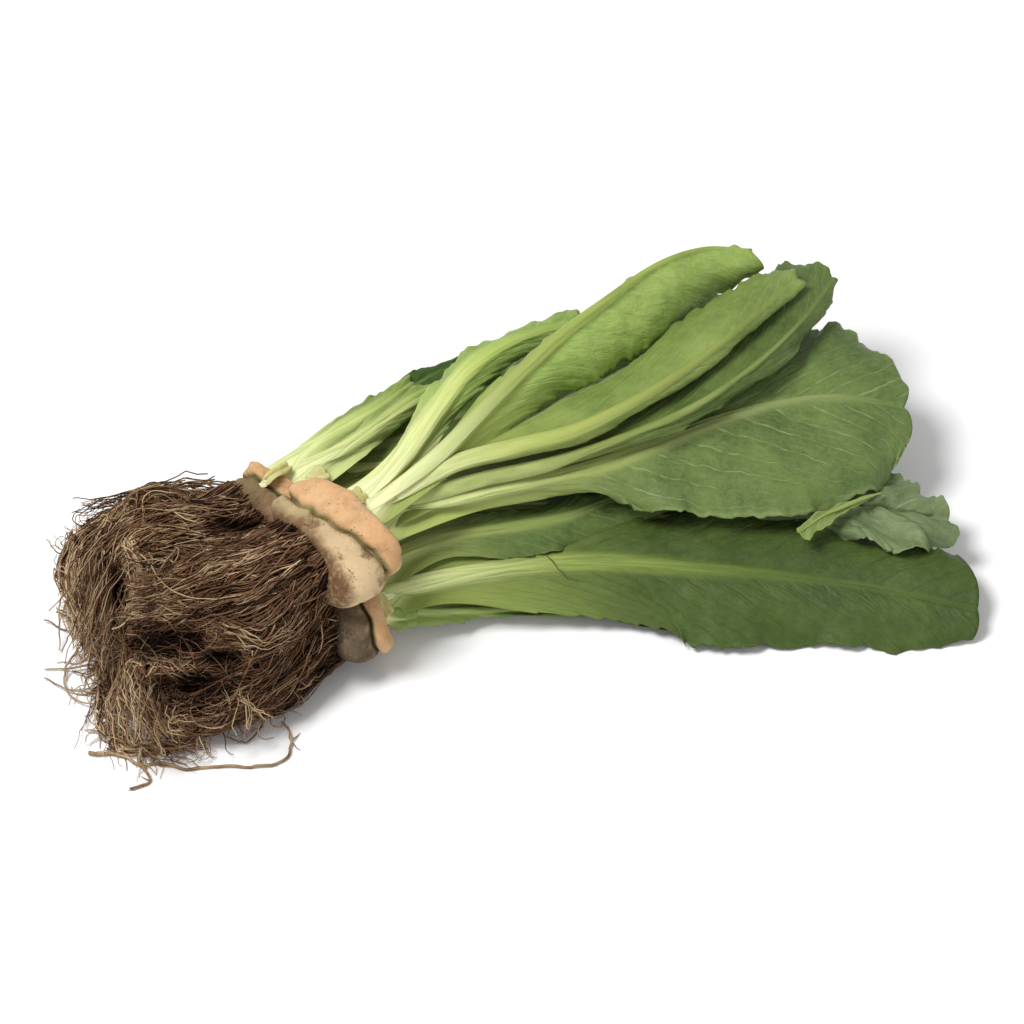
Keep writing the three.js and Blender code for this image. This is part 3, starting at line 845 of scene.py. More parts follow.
@dataclass
class Leaf:
    """Builds one leaf: a thin rippled blade on a thick rib."""

    spec: LeafSpec
    stem: "Stem"
    seed: int

    def rails(self) -> tuple[Rail, Rail, Rail]:
        """Draws the lines that the leaf follows, begun inside the foam.

        Returns:
            The lines of the rib, the front edge and the rear edge.
        """
        rib = place(self.spec.rib)
        if self.spec.stalk > 6:
            axis, _, _, middle = self.stem.frame()
            depth = (rib[0] - middle) @ axis
            off = rib[0] - middle - axis * depth
            rib = np.vstack([middle + axis * self.stem.size[2] * 0.55 + off * 0.5, rib])
        level = unit(np.cross(unit(rib[1] - rib[0]), [0, 0, 1]))
        starts = (rib[0] + level * self.spec.stalk / 2, rib[0] - level * self.spec.stalk / 2)
        front = np.vstack([starts[0], place(self.spec.front)])
        rear = np.vstack([starts[1], place(self.spec.rear)])
        return Rail(rib), Rail(front), Rail(rear)

    def columns(self) -> np.ndarray:
        """Spreads the columns of points across the leaf.

        Returns:
            Shares from the rear edge at -1 to the front edge at 1.
        """
        inner = np.linspace(0, RIB_PART, 8)[1:]
        outer = np.linspace(0, 1, self.spec.side_columns + 1)[1:] ** 0.95
        side = np.concatenate([inner, RIB_PART + (1 - RIB_PART) * outer])
        return np.concatenate([-side[::-1], [0], side])

    def build(self, material: bpy.types.Material) -> bpy.types.Object:
        """Makes the leaf.

        Args:
            material: Its finish.

        Returns:
            The leaf object.
        """
        spec = self.spec
        rib_rail, front_rail, rear_rail = self.rails()
        t = np.linspace(0, 1, spec.rows + 1)
        a = self.columns()
        # The rib keeps its own width, and the rest of the columns share out the blade.
        rib, heading = rib_rail.at(t)[:, None], rib_rail.heading(t)[:, None]
        front, rear = front_rail.at(t)[:, None], rear_rail.at(t)[:, None]
        is_front = (a >= 0)[None, :, None]
        reach = np.where(is_front, front, rear) - rib
        width = np.linalg.norm(reach, axis=-1)
        stalk = (spec.stalk * 0.58 * (0.12 + 0.88 * (1 - t) ** spec.taper))[:, None]
        rib_share = np.minimum(stalk / width, 0.85)
        size = np.abs(a)[None, :]
        beyond = (size - RIB_PART) / (1 - RIB_PART)
        on_rib, on_blade = size / RIB_PART * rib_share, rib_share + beyond * (1 - rib_share)
        share = np.where(size < RIB_PART, on_rib, on_blade)
        steps = np.linalg.norm(np.diff(rib[:, 0], axis=0), axis=1)
        length = np.concatenate([[0], np.cumsum(steps)])[:, None]
        tt = t[:, None] + 0 * share
        noise, hand = SmoothNoise(self.seed), np.where(a >= 0, 0.0, 17.3)[None, :]
        # The ragged margin, then the blade's sag, its long ripple, its frill and its blunt tip.
        jagged = noise(length / 5.5 + hand, 3.0) + 0.8 * noise(length / 2.1 + hand, 9.0) - 0.4
        torn = 1 + spec.ragged * jagged * smoothstep(0.12, 0.3, tt)
        up = unit(np.cross(reach, heading) * np.where(is_front, 1.0, -1.0))
        rear_sag = spec.sag if spec.rear_sag is None else spec.rear_sag
        sag = np.where(a >= 0, spec.sag, rear_sag)[None, :]
        bow = 4 * sag * share * (1 - share) * smoothstep(0.1, 0.5, tt)
        height, count, start = spec.wave
        phase = 2 * math.pi * count * tt + start + np.where(a >= 0, 0.0, 2.0)[None, :]
        ripple = height * np.sin(phase) * share**2 * smoothstep(0.2, 0.5, tt)
        frill = 1.1 * noise(length / 4.6 + hand, 5.0) + 0.6 * noise(length / 2.3 + hand, 11.0)
        frill = spec.frill * frill * share**6 * smoothstep(0.2, 0.45, tt)
        blunt = TIP_BULGE * width * smoothstep(0.8, 1, tt) * (share - share**2) * 4
        sheet = rib + reach * (share * torn)[..., None] + up * (bow + ripple + frill)[..., None]
        sheet = sheet + heading * blunt[..., None]
        # Crumples, creases and the pillows that swell between the side veins.
        across = share * width
        side = np.where(a >= 0, 1.0, -1.0)[None, :] * across
        off_rib = smoothstep(0.6, 1.6, across / np.maximum(stalk, 0.8))
        open_blade = smoothstep(0.15, 0.4, tt) * off_rib
        crumple = noise(side / 7 + 20, length / 9 + hand)
        crumple = crumple + 0.5 * noise(side / 3.4 + 40, length / 3.9)
        fold = 0.5 - np.abs(noise(side / 15 + 7, length / 17 + 2))
        fold = fold - 0.3 * np.abs(noise(side / 6 + 3, length / 8))
        veins = length - across * (0.95 + 0.016 * across) + np.where(a >= 0, 3.7, -3.7)[None, :]
        veins = veins / 10.5
        veins = veins + 0.25 * noise(side / 11, length / 11)
        pillow = np.sqrt(np.abs(np.sin(math.pi * veins)) + 0.02) - 0.6
        relief = open_blade * (spec.pucker * (0.6 * pillow + 0.9 * crumple) + spec.crease * fold)
        normal = self.normals(sheet)
        sheet = sheet + normal * relief[..., None]
        # The rib stands out of the sheet, most of it on one side, with fine lengthways ridges.
        from_rib = np.linalg.norm(sheet - sheet[:, len(a) // 2][:, None], axis=-1)
        ribbed = np.exp(-((from_rib / (0.95 * stalk)) ** 4))
        depth = (0.38 * spec.stalk * (1 - tt) ** 1.3 + 0.8 * (1 - tt)) * ribbed
        ridged = 0.05 * np.cos(2 * math.pi * side / 2.3)
        ridged = ridged + 0.04 * np.cos(2 * math.pi * side / 1.5 + 1 + length / 40)
        depth = depth * (1 + ridged * smoothstep(0, 0.1, 1 - tt))
        half = BLADE_THICKNESS / 2 * (1 - 0.5 * smoothstep(0.8, 1, share))
        normal = self.normals(sheet)
        outer = sheet + normal * (half + spec.outside * depth)[..., None]
        inner = sheet - normal * (half + (1 - spec.outside) * depth)[..., None]
        lift = np.maximum(SHELL_FLOOR - np.minimum(outer[..., 2], inner[..., 2]), 0)
        outer[..., 2] += lift
        inner[..., 2] += lift
        both = np.concatenate([outer.reshape(-1, 3), inner.reshape(-1, 3)])
        marks = {
            "rib": np.tile(ribbed.ravel(), 2),
            "along": np.tile(tt.ravel(), 2),
            "share": np.tile(share.ravel(), 2),
            "face": np.repeat([1.0, 0.0], tt.size),
        }
        flat = np.stack([side / 10 + 0 * length, length / 10 + 0 * side], axis=-1).reshape(-1, 2)
        patch = Patch(both, self.faces(len(t), len(a)), marks, np.tile(flat, (2, 1)))
        return put(f"leaf_{spec.name}", patch, material)

    @staticmethod
    def normals(sheet: np.ndarray) -> np.ndarray:
        """Unit normals of a grid of points, on the side that looks up."""
        return unit(np.cross(np.gradient(sheet, axis=1), np.gradient(sheet, axis=0)))

    @staticmethod
    def faces(rows: int, columns: int) -> list[tuple[int, ...]]:
        """Faces of a closed shell between two grids, all pointing out.

        Args:
            rows: Points along the leaf.
            columns: Points across it.

        Returns:
            The faces, the outer grid's points first.
        """
        offset = rows * columns
        i, j = np.meshgrid(np.arange(rows - 1), np.arange(columns - 1), indexing="ij")
        a = (i * columns + j).ravel()
        top = np.stack([a, a + 1, a + columns + 1, a + columns], axis=1)
        bottom = np.stack([a, a + columns, a + columns + 1, a + 1], axis=1) + offset
        loop = list(range(columns))
        loop += [k * columns + columns - 1 for k in range(1, rows)]
        loop += [(rows - 1) * columns + k for k in range(columns - 2, -1, -1)]
        loop += [k * columns for k in range(rows - 2, 0, -1)]
        ring = np.array(loop)
        after = np.roll(ring, -1)
        rim = np.stack([ring, ring + offset, after + offset, after], axis=1)
        return np.vstack([top, bottom, rim]).tolist()


# Each plant's leaves, the same lines as in the solid model, as rows of across, rise and height.
LEAVES: dict[str, list[LeafSpec]] = {
    "back": [
        LeafSpec(
            "back_edge", Layer.INNER, 15, 0.6, 1, (0.6, 3, 0.4),
            rib=[[-71, 58.5, 38], [-61, 66.5, 41], [-51, 73, 43], [-42, 79, 44], [-33, 86, 43]],
            rear=[[-62, 70.2, 42], [-51.5, 78, 44], [-43, 82.3, 44], [-33.5, 88, 43]],
            front=[[-57, 63, 41], [-48, 69.5, 42], [-39.5, 76.5, 43], [-31, 84, 42]],
            taper=1.0,
        ),
        LeafSpec(
            "back_tip", Layer.SHADE, 10, 0.6, 1, (0.8, 3, 1.4),
            rib=[[-66, 58, 37], [-52, 71, 40], [-42, 78, 41], [-31, 85, 41], [-20, 91.5, 40],
                 [-6, 97, 38]],
            rear=[[-53, 74, 41], [-42, 82.5, 42], [-32, 89.5, 42], [-22, 93, 41], [-6, 98, 38]],
            front=[[-49, 68, 39], [-38, 75, 40], [-27, 81, 40], [-17, 87.5, 39], [-4, 94, 36]],
        ),
        LeafSpec(
            "back_rising", Layer.INNER, 16, 0.6, 1, (0.8, 4, 1.2),
            rib=[[-66, 57, 38], [-55, 63, 42], [-44, 71, 44], [-34, 78.5, 45], [-24, 84, 44],
                 [-6, 90, 42]],
            rear=[[-56, 66, 43], [-45, 75, 45], [-35, 82, 45], [-24, 86.5, 44], [-6, 93, 42]],
            front=[[-49, 60.5, 41], [-40, 68, 42], [-30.5, 76.5, 42], [-20, 82, 41], [-4, 88, 40]],
            taper=1.0,
        ),
        LeafSpec(
            "back_crest", Layer.MIDDLE, 12.5, 0.6, 1.5, (1.4, 4, 2),
            rib=[[-68, 57, 34], [-40, 66, 36], [-4, 79, 38], [36, 94, 39], [76, 106, 36]],
            rear=[[-41, 71, 37], [-8, 89, 38], [30, 106, 39], [72, 117, 36]],
            front=[[-36, 61, 34], [2, 69, 33], [44, 80, 32], [84, 96, 31]],
            rows=80, side_columns=16,
        ),
        LeafSpec(
            "back_middle", Layer.INNER, 12.5, 0.6, 1.5, (1.4, 4, 0.2),
            rib=[[-66, 56, 30], [-48, 58, 33], [-12, 62, 29], [32, 72, 24], [86, 84, 20]],
            rear=[[-49, 61.5, 33], [-14, 71, 30], [28, 90, 27], [78, 98, 23]],
            front=[[-44, 54, 31], [-6, 55, 25], [38, 58, 18], [94, 72, 16]],
            rows=80, side_columns=16,
        ),
        LeafSpec(
            "back_outer", Layer.SHADE, 14, 0.3, -2, (1.6, 4, 1.6),
            rib=[[-70, 57, 28], [-42, 62, 20], [0, 69, 13], [46, 79, 9], [98, 83, 4]],
            rear=[[-42, 67, 20], [-2, 81, 13], [42, 93, 7], [94, 92, 2]],
            front=[[-38, 57, 17], [4, 59, 9], [52, 63, 6], [103, 73, 3]],
            frill=0.6, rows=90, side_columns=18,
        ),
        LeafSpec(
            "back_under", Layer.SHADE, 14, 0.3, -2, (1.4, 4, 2.6),
            rib=[[-67, 52, 24], [-34, 47, 13], [10, 46, 6], [62, 50, 4], [116, 54, 3]],
            rear=[[-34, 52, 14], [8, 57, 7], [58, 65, 6], [112, 63, 4]],
            front=[[-31, 42, 11], [14, 36, 3], [66, 36, 1], [118, 46, 1.5]],
            frill=0.4, rows=80, side_columns=16,
        ),
        LeafSpec(
            "back_sheath", Layer.SHEATH, 2, 0.5, 1, (0.4, 2, 0),
            rib=[[-80, 52.5, 40], [-76, 56, 43.5], [-71.5, 58.5, 42.5]],
            rear=[[-78.5, 56, 43], [-74.5, 59, 42]],
            front=[[-76, 53, 43], [-71, 56.8, 42]],
            ragged=0.25, crease=0.9, rows=30, side_columns=9,
        ),
        LeafSpec(
            "back_scale", Layer.SHEATH, 2, 0.5, 1, (0.4, 2, 1),
            rib=[[-66, 52, 40], [-62.5, 54.5, 42], [-59.5, 56.5, 42]],
            rear=[[-65.5, 56, 42], [-62, 58.5, 41]],
            front=[[-61.5, 52, 41], [-58.5, 54.5, 41]],
            ragged=0.2, crease=0.7, rows=30, side_columns=9,
        ),
    ],
    "front": [
        LeafSpec(
            "front_tall", Layer.HEART, 18, 0.6, 1, (0.8, 4, 0.8),
            rib=[[-45, 48, 49], [-34.5, 61, 54], [-25, 75, 58], [-14, 89, 60], [0, 98.5, 59],
                 [22, 106, 53]],
            rear=[[-39, 62.5, 54], [-30.5, 77, 57], [-20, 91, 58], [-6, 100, 57], [20, 109.5, 52]],
            front=[[-28, 60, 52], [-17, 75, 54], [-5, 88, 55], [9, 97, 53], [28, 104, 49]],
            taper=0.8,
        ),
        LeafSpec(
            "front_crest", Layer.CREST, 14, 0.6, 3, (1.2, 4, 1.4),
            rib=[[-40, 48, 51], [-22, 63, 57], [-5, 81, 63], [12, 98, 68], [30, 112, 71],
                 [47, 124, 71], [62, 129.5, 68], [77, 129.5, 62]],
            rear=[[-24, 65, 55], [-8, 84, 58], [9, 97, 61], [26, 108.5, 62], [43, 120.5, 62],
                  [60, 128, 60], [78, 129.5, 58]],
            front=[[-17, 58, 53], [0, 71, 53], [13, 80, 52], [24, 85.5, 51], [36, 92, 51],
                   [50, 101, 50], [64, 112, 50], [81, 123, 53]],
            rear_sag=0, ragged=0.045, rows=130, side_columns=26,
        ),
        LeafSpec(
            "front_side", Layer.SIDE, 14, 0.6, 2, (1, 4, 2.3),
            rib=[[-39, 48, 50], [-20, 58.5, 54], [0, 64.5, 57], [20, 70, 59], [40, 80, 61],
                 [60, 93, 62], [78, 107.5, 61], [92.5, 120, 57]],
            rear=[[-18, 63, 50], [2, 73, 48], [20, 82.5, 47], [36, 92, 48], [52, 103, 53],
                  [66, 114.5, 57], [80, 121, 57], [91, 122.5, 54]],
            front=[[-20, 55.5, 50], [0, 61, 52], [20, 66, 53], [40, 76, 55], [60, 89, 56],
                   [78, 103.5, 55], [93.5, 118, 54]],
            taper=1.4, rows=130, side_columns=24,
        ),
        LeafSpec(
            "front_under", Layer.MIDDLE, 12, 0.6, 1.2, (1.2, 5, 0.3),
            rib=[[-38, 46, 46], [-10, 54, 48], [15, 60, 50], [40, 69, 52], [60, 78.5, 54],
                 [78, 91, 54], [92, 104, 53], [101, 115, 51], [104, 120.5, 50]],
            rear=[[-12, 58, 45], [12, 68, 45], [36, 78, 46], [54, 89, 49], [66, 98, 50],
                  [76, 109, 50], [82, 119, 50], [88, 124.5, 49.5], [96, 125.5, 49], [103, 123, 49]],
            front=[[-10, 51.5, 44], [12, 57.5, 46], [30, 63, 48], [48, 68.5, 49], [66, 77.5, 50],
                   [82, 88, 49], [93, 98.5, 48], [100.5, 107, 47], [104, 114, 47], [105, 119, 48]],
            rows=130, side_columns=24,
        ),
        LeafSpec(
            "front_broad", Layer.OUTER, 19, 0.6, 2.5, (1.8, 6, 1.1),
            rib=[[-38, 44, 43], [-12, 49.5, 43], [15, 55.5, 43], [42, 64.5, 43], [66, 73.5, 42],
                 [86, 79, 40], [107, 81, 37], [127, 78, 29]],
            rear=[[-14, 53.5, 42], [14, 62, 41], [42, 74.5, 41], [66, 89, 40], [86, 101, 40],
                  [101, 105, 38], [114, 101, 35], [125.5, 87, 29]],
            front=[[-14, 43.5, 39], [6, 47.5, 38], [26, 50.5, 37], [40, 45.5, 33], [60, 43, 31],
                   [84, 41, 27], [104, 46, 25], [119, 51.5, 24], [125.5, 62, 24]],
            frill=1.3, rows=160, side_columns=34,
        ),
        LeafSpec(
            "front_margin", Layer.TORN, 0.3, 0.05, 0.6, (0.5, 3, 0),
            rib=[[119, 50.5, 24.5], [108, 46.5, 27], [99, 42.5, 27], [92, 37.5, 26]],
            rear=[[109, 48.5, 27], [100, 44.8, 27], [91, 39.5, 26]],
            front=[[107, 43.8, 26], [99.5, 38.8, 25.5], [95.5, 35, 25]],
            ragged=0.2, crease=0.6, rows=50, side_columns=9,
        ),
        LeafSpec(
            "front_inner", Layer.MIDDLE, 10.5, 0.6, 1.5, (1.4, 4, 2.8),
            rib=[[-41, 44, 43], [-6, 52, 36], [36, 62, 31], [76, 78, 30], [112, 92, 28]],
            rear=[[-8, 57, 37], [32, 74, 35], [72, 94, 35], [105, 101, 31]],
            front=[[-2, 47, 32], [42, 52, 25], [84, 62, 22], [118, 80, 24]],
            rows=80, side_columns=16,
        ),
        LeafSpec(
            "front_stub", Layer.SHEATH, 2, 0.5, 0.5, (0.3, 2, 0),
            rib=[[-54, 45, 52], [-51, 48, 54], [-47.5, 50, 53]],
            rear=[[-53, 50, 53], [-49, 51.5, 52]],
            front=[[-48.5, 45.5, 54], [-45.5, 48, 53]],
            ragged=0.2, crease=0.6, rows=30, side_columns=9,
        ),
    ],
    "low": [
        LeafSpec(
            "low_inner", Layer.MIDDLE, 12.5, 0.6, 1, (0.9, 4, 0.9),
            rib=[[-41, 27, 24], [-24, 34.5, 28], [-4, 38, 29], [16, 42, 29], [32, 48, 27],
                 [60, 55, 25]],
            rear=[[-33, 37.5, 28], [-20, 42, 31], [0, 44.5, 30], [18, 48.5, 28], [34, 52.5, 27],
                  [62, 60, 25]],
            front=[[-22, 29, 26], [-2, 29.5, 25], [16, 32, 24], [34, 39, 23], [62, 48, 22]],
            taper=1.3,
        ),
        LeafSpec(
            "low_broad", Layer.DEEP, 18, 0.4, 2, (1.2, 6, 2.1),
            rib=[[-40, 19, 19], [-18, 24, 22], [10, 27.5, 21], [35, 27.5, 19], [62, 25.5, 16],
                 [90, 23, 13], [118, 19.5, 11], [149, 13, 8]],
            rear=[[-20, 30, 24], [8, 36, 24], [34, 41, 23], [60, 44, 22], [88, 42.5, 19],
                  [116, 37, 16], [143.5, 30.5, 12]],
            front=[[-20, 15, 15], [4, 12.3, 10], [22, 10.5, 7], [38, 8, 5], [52, 5, 4],
                   [60, -0.5, 2.5], [82, 0, 2], [104, 1, 1.5], [125, -0.8, 0.8], [147.5, 3.2, 0.8]],
            frill=0.6, ragged=0.05, rows=170, side_columns=32,
        ),
        LeafSpec(
            "low_curled", Layer.LIMP, 9, 0.5, 2, (1.6, 6, 0.5),
            rib=[[-38, 20, 21], [0, 33, 21], [46, 42, 19], [88, 46, 18], [116, 45, 18],
                 [140.5, 41, 15]],
            rear=[[-1, 37, 23], [44, 50, 21], [88, 58, 19], [112, 60, 20], [127, 55, 19],
                  [139, 48.5, 17]],
            front=[[3, 29, 13], [50, 34, 10], [92, 34, 12], [111, 34, 18], [127, 30.5, 18],
                   [143.5, 34.5, 14]],
            frill=1.0, pucker=0.6, ragged=0.06, crease=4.6, rows=140, side_columns=28,
        ),
        LeafSpec(
            "low_under", Layer.SHADE, 12.5, 0.3, -1, (1, 4, 1.7),
            rib=[[-40, 13, 15], [-20, 12.5, 10], [10, 13.5, 6.5], [40, 12, 4.5], [80, 10, 3.5],
                 [114, 9, 3]],
            rear=[[-18, 19, 14], [16, 21, 9], [50, 22, 7], [85, 20, 5.5], [112, 15, 4]],
            front=[[-28, 7.8, 9], [-17, 8.5, 7], [-5, 11, 6], [24, 10.8, 4], [60, 5, 1.5],
                   [92, 3, 1], [112, 5, 1.5]],
            frill=0.5, ragged=0.1,
        ),
        LeafSpec(
            "low_sheath", Layer.SHEATH, 2, 0.5, 0.5, (0.3, 2, 0),
            rib=[[-46, 20, 27], [-42.5, 16.5, 25.5], [-39, 11.5, 22]],
            rear=[[-42, 19, 26.5], [-37.5, 13, 23]],
            front=[[-43.8, 15.5, 25], [-40, 10.5, 21]],
            ragged=0.15, crease=0.4, rows=30, side_columns=9,
        ),
        LeafSpec(
            "low_scale", Layer.INNER, 3, 0.5, 0.8, (0.4, 2, 1),
            rib=[[-41, 11, 18], [-36, 10, 16], [-30.5, 10.5, 13]],
            rear=[[-36, 14, 18], [-31.5, 13, 14]],
            front=[[-37, 6.3, 13], [-32.5, 7.5, 11]],
            ragged=0.1, crease=0.5, rows=30, side_columns=9,
        ),
    ],
}


@dataclass(frozen=True)
class Stem:
    """Where a plant's stem points, and the sizes of its foam ring and crown, in millimetres."""

    name: str
    axis: tuple[float, float, float]
    foam: tuple[float, float, float]
    size: tuple[float, float, float]
    crown: float
    crown_at: float

    def frame(self) -> tuple[np.ndarray, np.ndarray, np.ndarray, np.ndarray]:
        """Works out how the stem stands.

        Returns:
            The directions along, level across and upright across it, and the foam's middle.
        """
        axis = unit(np.array(self.axis))
        level = unit(np.cross(axis, [0, 0, 1]))
        return axis, level, np.cross(level, axis), np.array(self.foam)


# The stems, with the foam rings' half sizes level, upright and along the stem.
STEMS = {
    "back": Stem("back", (0.66, 0.73, 0.17), (-79, 35, 29), (14, 13, 8), 9.5, 13.5),
    "front": Stem("front", (0.7, 0.67, 0.25), (-55.5, 6.5, 45), (23, 14.5, 10.5), 9, 15.5),
    "low": Stem("low", (0.93, 0.25, 0.2), (-50.5, 2.5, 16.5), (19, 14, 8.5), 6, 12),
}


def tube_faces(rows: int, sides: int) -> list[tuple[int, ...]]:
    """Faces of a capped tube of rings, pointing out where the rings turn right-handed.

    Args:
        rows: Number of rings.
        sides: Points in each ring.

    Returns:
        Quads for the wall and one face at each end.
    """
    faces: list[tuple[int, ...]] = []
    for i in range(rows - 1):
        for j in range(sides):
            a, b = i * sides + j, i * sides + (j + 1) % sides
            faces.append((a, b, b + sides, a + sides))
    faces.append(tuple(range(sides - 1, -1, -1)))
    faces.append(tuple(range((rows - 1) * sides, rows * sides)))
    return faces


@dataclass
class Plant:
    """One plant: the crown on its stem, and its leaves."""

    stem: Stem
    leaves: list[LeafSpec]
    finishes: dict[Layer, bpy.types.Material]
    seed: int
    sides: int = 64

    def build(self) -> None:
        """Builds the crown and every leaf."""
        node = f"head_{self.stem.name}"
        settle(self.build_crown(), Slot.LEAF, node)
        for k, spec in enumerate(self.leaves):
            leaf = Leaf(spec, self.stem, self.seed + 7 * k).build(self.finishes[spec.layer])
            settle(leaf, Slot.LEAF, node)

    def build_crown(self) -> bpy.types.Object:
        """Makes the pale crown, scalloped where the stalks clasp it.

        Returns:
            The crown object.
        """
        axis, level, upright, middle = self.stem.frame()
        half, wide, at = self.stem.size[2], self.stem.crown, self.stem.crown_at
        outline = [(0.4, 5.0), (2, 5.6), (half + 1, 5.6), (at - 4, wide * 0.6)]
        outline += [(at - 1, wide * 0.5), (at + 1, wide * 0.32), (at + 2, wide * 0.1)]
        along = np.array([p[0] for p in outline])
        rows = np.linspace(along[0], along[-1], 40)
        radius = np.interp(rows, along, [p[1] for p in outline])
        angle = np.linspace(0, 2 * math.pi, self.sides, endpoint=False)
        fold = 1 + 0.05 * np.sin(5 * angle)[None, :] * smoothstep(half, half + 4, rows)[:, None]
        noise = SmoothNoise(self.seed + 90)
        fold = fold + 0.02 * noise(rows[:, None] / 3, 3 * np.cos(angle)[None, :])
        ring = np.cos(angle)[None, :, None] * level + np.sin(angle)[None, :, None] * upright
        points = middle + axis * rows[:, None, None] + ring * (radius[:, None] * fold)[..., None]
        count = points.shape[0] * points.shape[1]
        whole = np.ones(count)
        marks = {"rib": whole, "along": 0.03 * whole, "share": 0 * whole, "face": whole}
        turned, risen = np.meshgrid(angle * 0.7, rows / 10)
        chart = np.stack([turned, risen], axis=-1)
        faces = [f[::-1] for f in tube_faces(len(rows), self.sides)]
        patch = Patch(points.reshape(-1, 3), faces, marks, chart.reshape(-1, 2))
        return put(f"crown_{self.stem.name}", patch, self.finishes[Layer.HEART])


@dataclass
class FoamRing:
    """A strip of soft foam folded round a stem, with a dip where its two folds meet."""

    stem: Stem
    meets: list[tuple[float, float]]
    lobe: float
    seed: int
    steps: int = 168
    wall: int = 72
    hole: float = 7.0
    outline: list[tuple[float, float]] = field(
        default_factory=lambda: [
            (-1, 0), (-1.02, 0.3), (-1.03, 0.55), (-0.99, 0.74), (-0.9, 0.88), (-0.72, 0.97),
            (-0.45, 1), (-0.2, 0.97), (-0.08, 0.88), (0, 0.72), (0.08, 0.88), (0.2, 0.96),
            (0.5, 0.98), (0.78, 0.93), (0.93, 0.82), (1.01, 0.64), (1.03, 0.4), (1.01, 0.2), (1, 0),
        ]
    )

    def build(self, material: bpy.types.Material) -> bpy.types.Object:
        """Makes the ring.

        Args:
            material: Its foam.

        Returns:
            The ring object.
        """
        axis, level, upright, middle = self.stem.frame()
        wide, tall, half = self.stem.size
        profile = Rail(np.array([(d, s, 0.0) for d, s in self.outline]))
        spots = profile.at(np.linspace(0, 1, self.wall))
        depth, share = spots[None, :, 0], np.maximum(spots[None, :, 1], 0)
        angle = np.linspace(0, 2 * math.pi, self.steps, endpoint=False)[:, None]
        noise = SmoothNoise(self.seed)
        loop = 2.2 * np.cos(angle), 2.2 * np.sin(angle)
        turns = [math.radians(turn) for turn, _ in self.meets]
        meet = np.interp(angle, turns, [at for _, at in self.meets], period=2 * math.pi)
        meet = meet + 0.06 * noise(loop[0] * 2 + 50, loop[1] * 2 + 50)
        oval = 1 / np.hypot(np.cos(angle) / wide, np.sin(angle) / tall)
        rim = oval * (1 + 0.035 * np.sin(3 * angle + wide) + 0.02 * np.sin(5 * angle + 1))
        dents = 1.5 * noise(loop[0] * 1.3 + 30, loop[1] * 1.3 + 1.5 * depth + 30)
        dents = dents + 0.3 * noise(loop[0] * 5 + 30, loop[1] * 5 + 6 * depth + 9)
        reach = self.hole + (rim - self.hole) * share
        reach = reach + dents * smoothstep(0.25, 0.8, share) - 0.3 * share
        swell = np.exp(-(((depth + 0.55) / 0.4) ** 2)) * np.maximum(np.cos(angle), 0) ** 2
        reach = reach + 0.05 * wide * swell
        slump = 0.8 * noise(loop[0] + 12, loop[1] + 12) * smoothstep(0.2, 0.9, share)
        lobe = np.exp(-((((np.degrees(angle) + 205) % 360 - 180) / 50) ** 2)) * self.lobe
        warped = np.where(depth < 0, meet + depth * (1 + meet + lobe), meet + depth * (1 - meet))
        outward = np.cos(angle)[..., None] * level + np.sin(angle)[..., None] * upright
        along = (warped * half * 0.98 + slump)[..., None] * axis
        points = middle + along + outward * reach[..., None]
        points[..., 2] = np.maximum(points[..., 2], FOAM_FLOOR)
        groove = np.exp(-((depth / 0.12) ** 2)) * smoothstep(0.3, 0.7, share)
        turned = np.cos(angle) + 0 * depth
        marks = {
            "depth": (depth + 0 * angle).ravel(),
            "groove": (groove + 0 * angle).ravel(),
            "turn": turned.ravel(),
        }
        i, j = np.meshgrid(np.arange(self.steps), np.arange(self.wall), indexing="ij")
        here, beside = i * self.wall + j, ((i + 1) % self.steps) * self.wall + j
        up = i * self.wall + (j + 1) % self.wall
        corner = ((i + 1) % self.steps) * self.wall + (j + 1) % self.wall
        faces = np.stack([here.ravel(), beside.ravel(), corner.ravel(), up.ravel()], axis=1)
        patch = Patch(points.reshape(-1, 3), faces.tolist(), marks)
        ring = put(f"foam_{self.stem.name}", patch, material)
        settle(ring, Slot.FOAM, f"plug_{self.stem.name}")
        return ring


# How far each ring's root fold sags into a lobe at its lower end.
LOBES = {"back": 0.0, "front": 0.62, "low": 0.15}

# Where the two folds meet: degrees round the stem, and the shift towards the leaves.
FOLDS = {
    "back": [(0, 0.2), (90, 0.25), (180, 0.2), (270, 0.2)],
    "front": [(-40, 0.1), (5, 0.14), (50, -0.1), (95, -0.38), (140, -0.3), (180, 0.0), (260, 0.0)],
    "low": [(0, 0.35), (90, 0.3), (180, 0.2), (270, 0.3)],
}


@dataclass(frozen=True)
class BundleSpec:
    """One bundle of roots: its middle line beyond the foam, and its half widths there."""

    name: str
    line: list[list[float]]
    level: list[float]
    upright: list[float]
    tint: float


# The three bundles: x, y and z of their middle lines, half widths level and upright, and tint.
BUNDLES = [
    BundleSpec("back", [[-97, 23, 24], [-112, 25, 19], [-125, 20, 15], [-130, 9, 10]],
               [12, 17, 20, 18, 14], [12, 16, 18, 14, 10], 0.5),
    BundleSpec("front", [[-77, -6, 34], [-93, -12, 27], [-107, -15, 21], [-117, -14, 15]],
               [13, 19, 23.5, 21, 13], [12, 18, 21, 19, 12], 0.44),
    BundleSpec("low", [[-70, -9, 14], [-85, -18, 12], [-100, -26, 10], [-111, -26.5, 8]],
               [12, 16, 19, 18, 12], [11, 14, 14, 12, 8], 0.4),
]

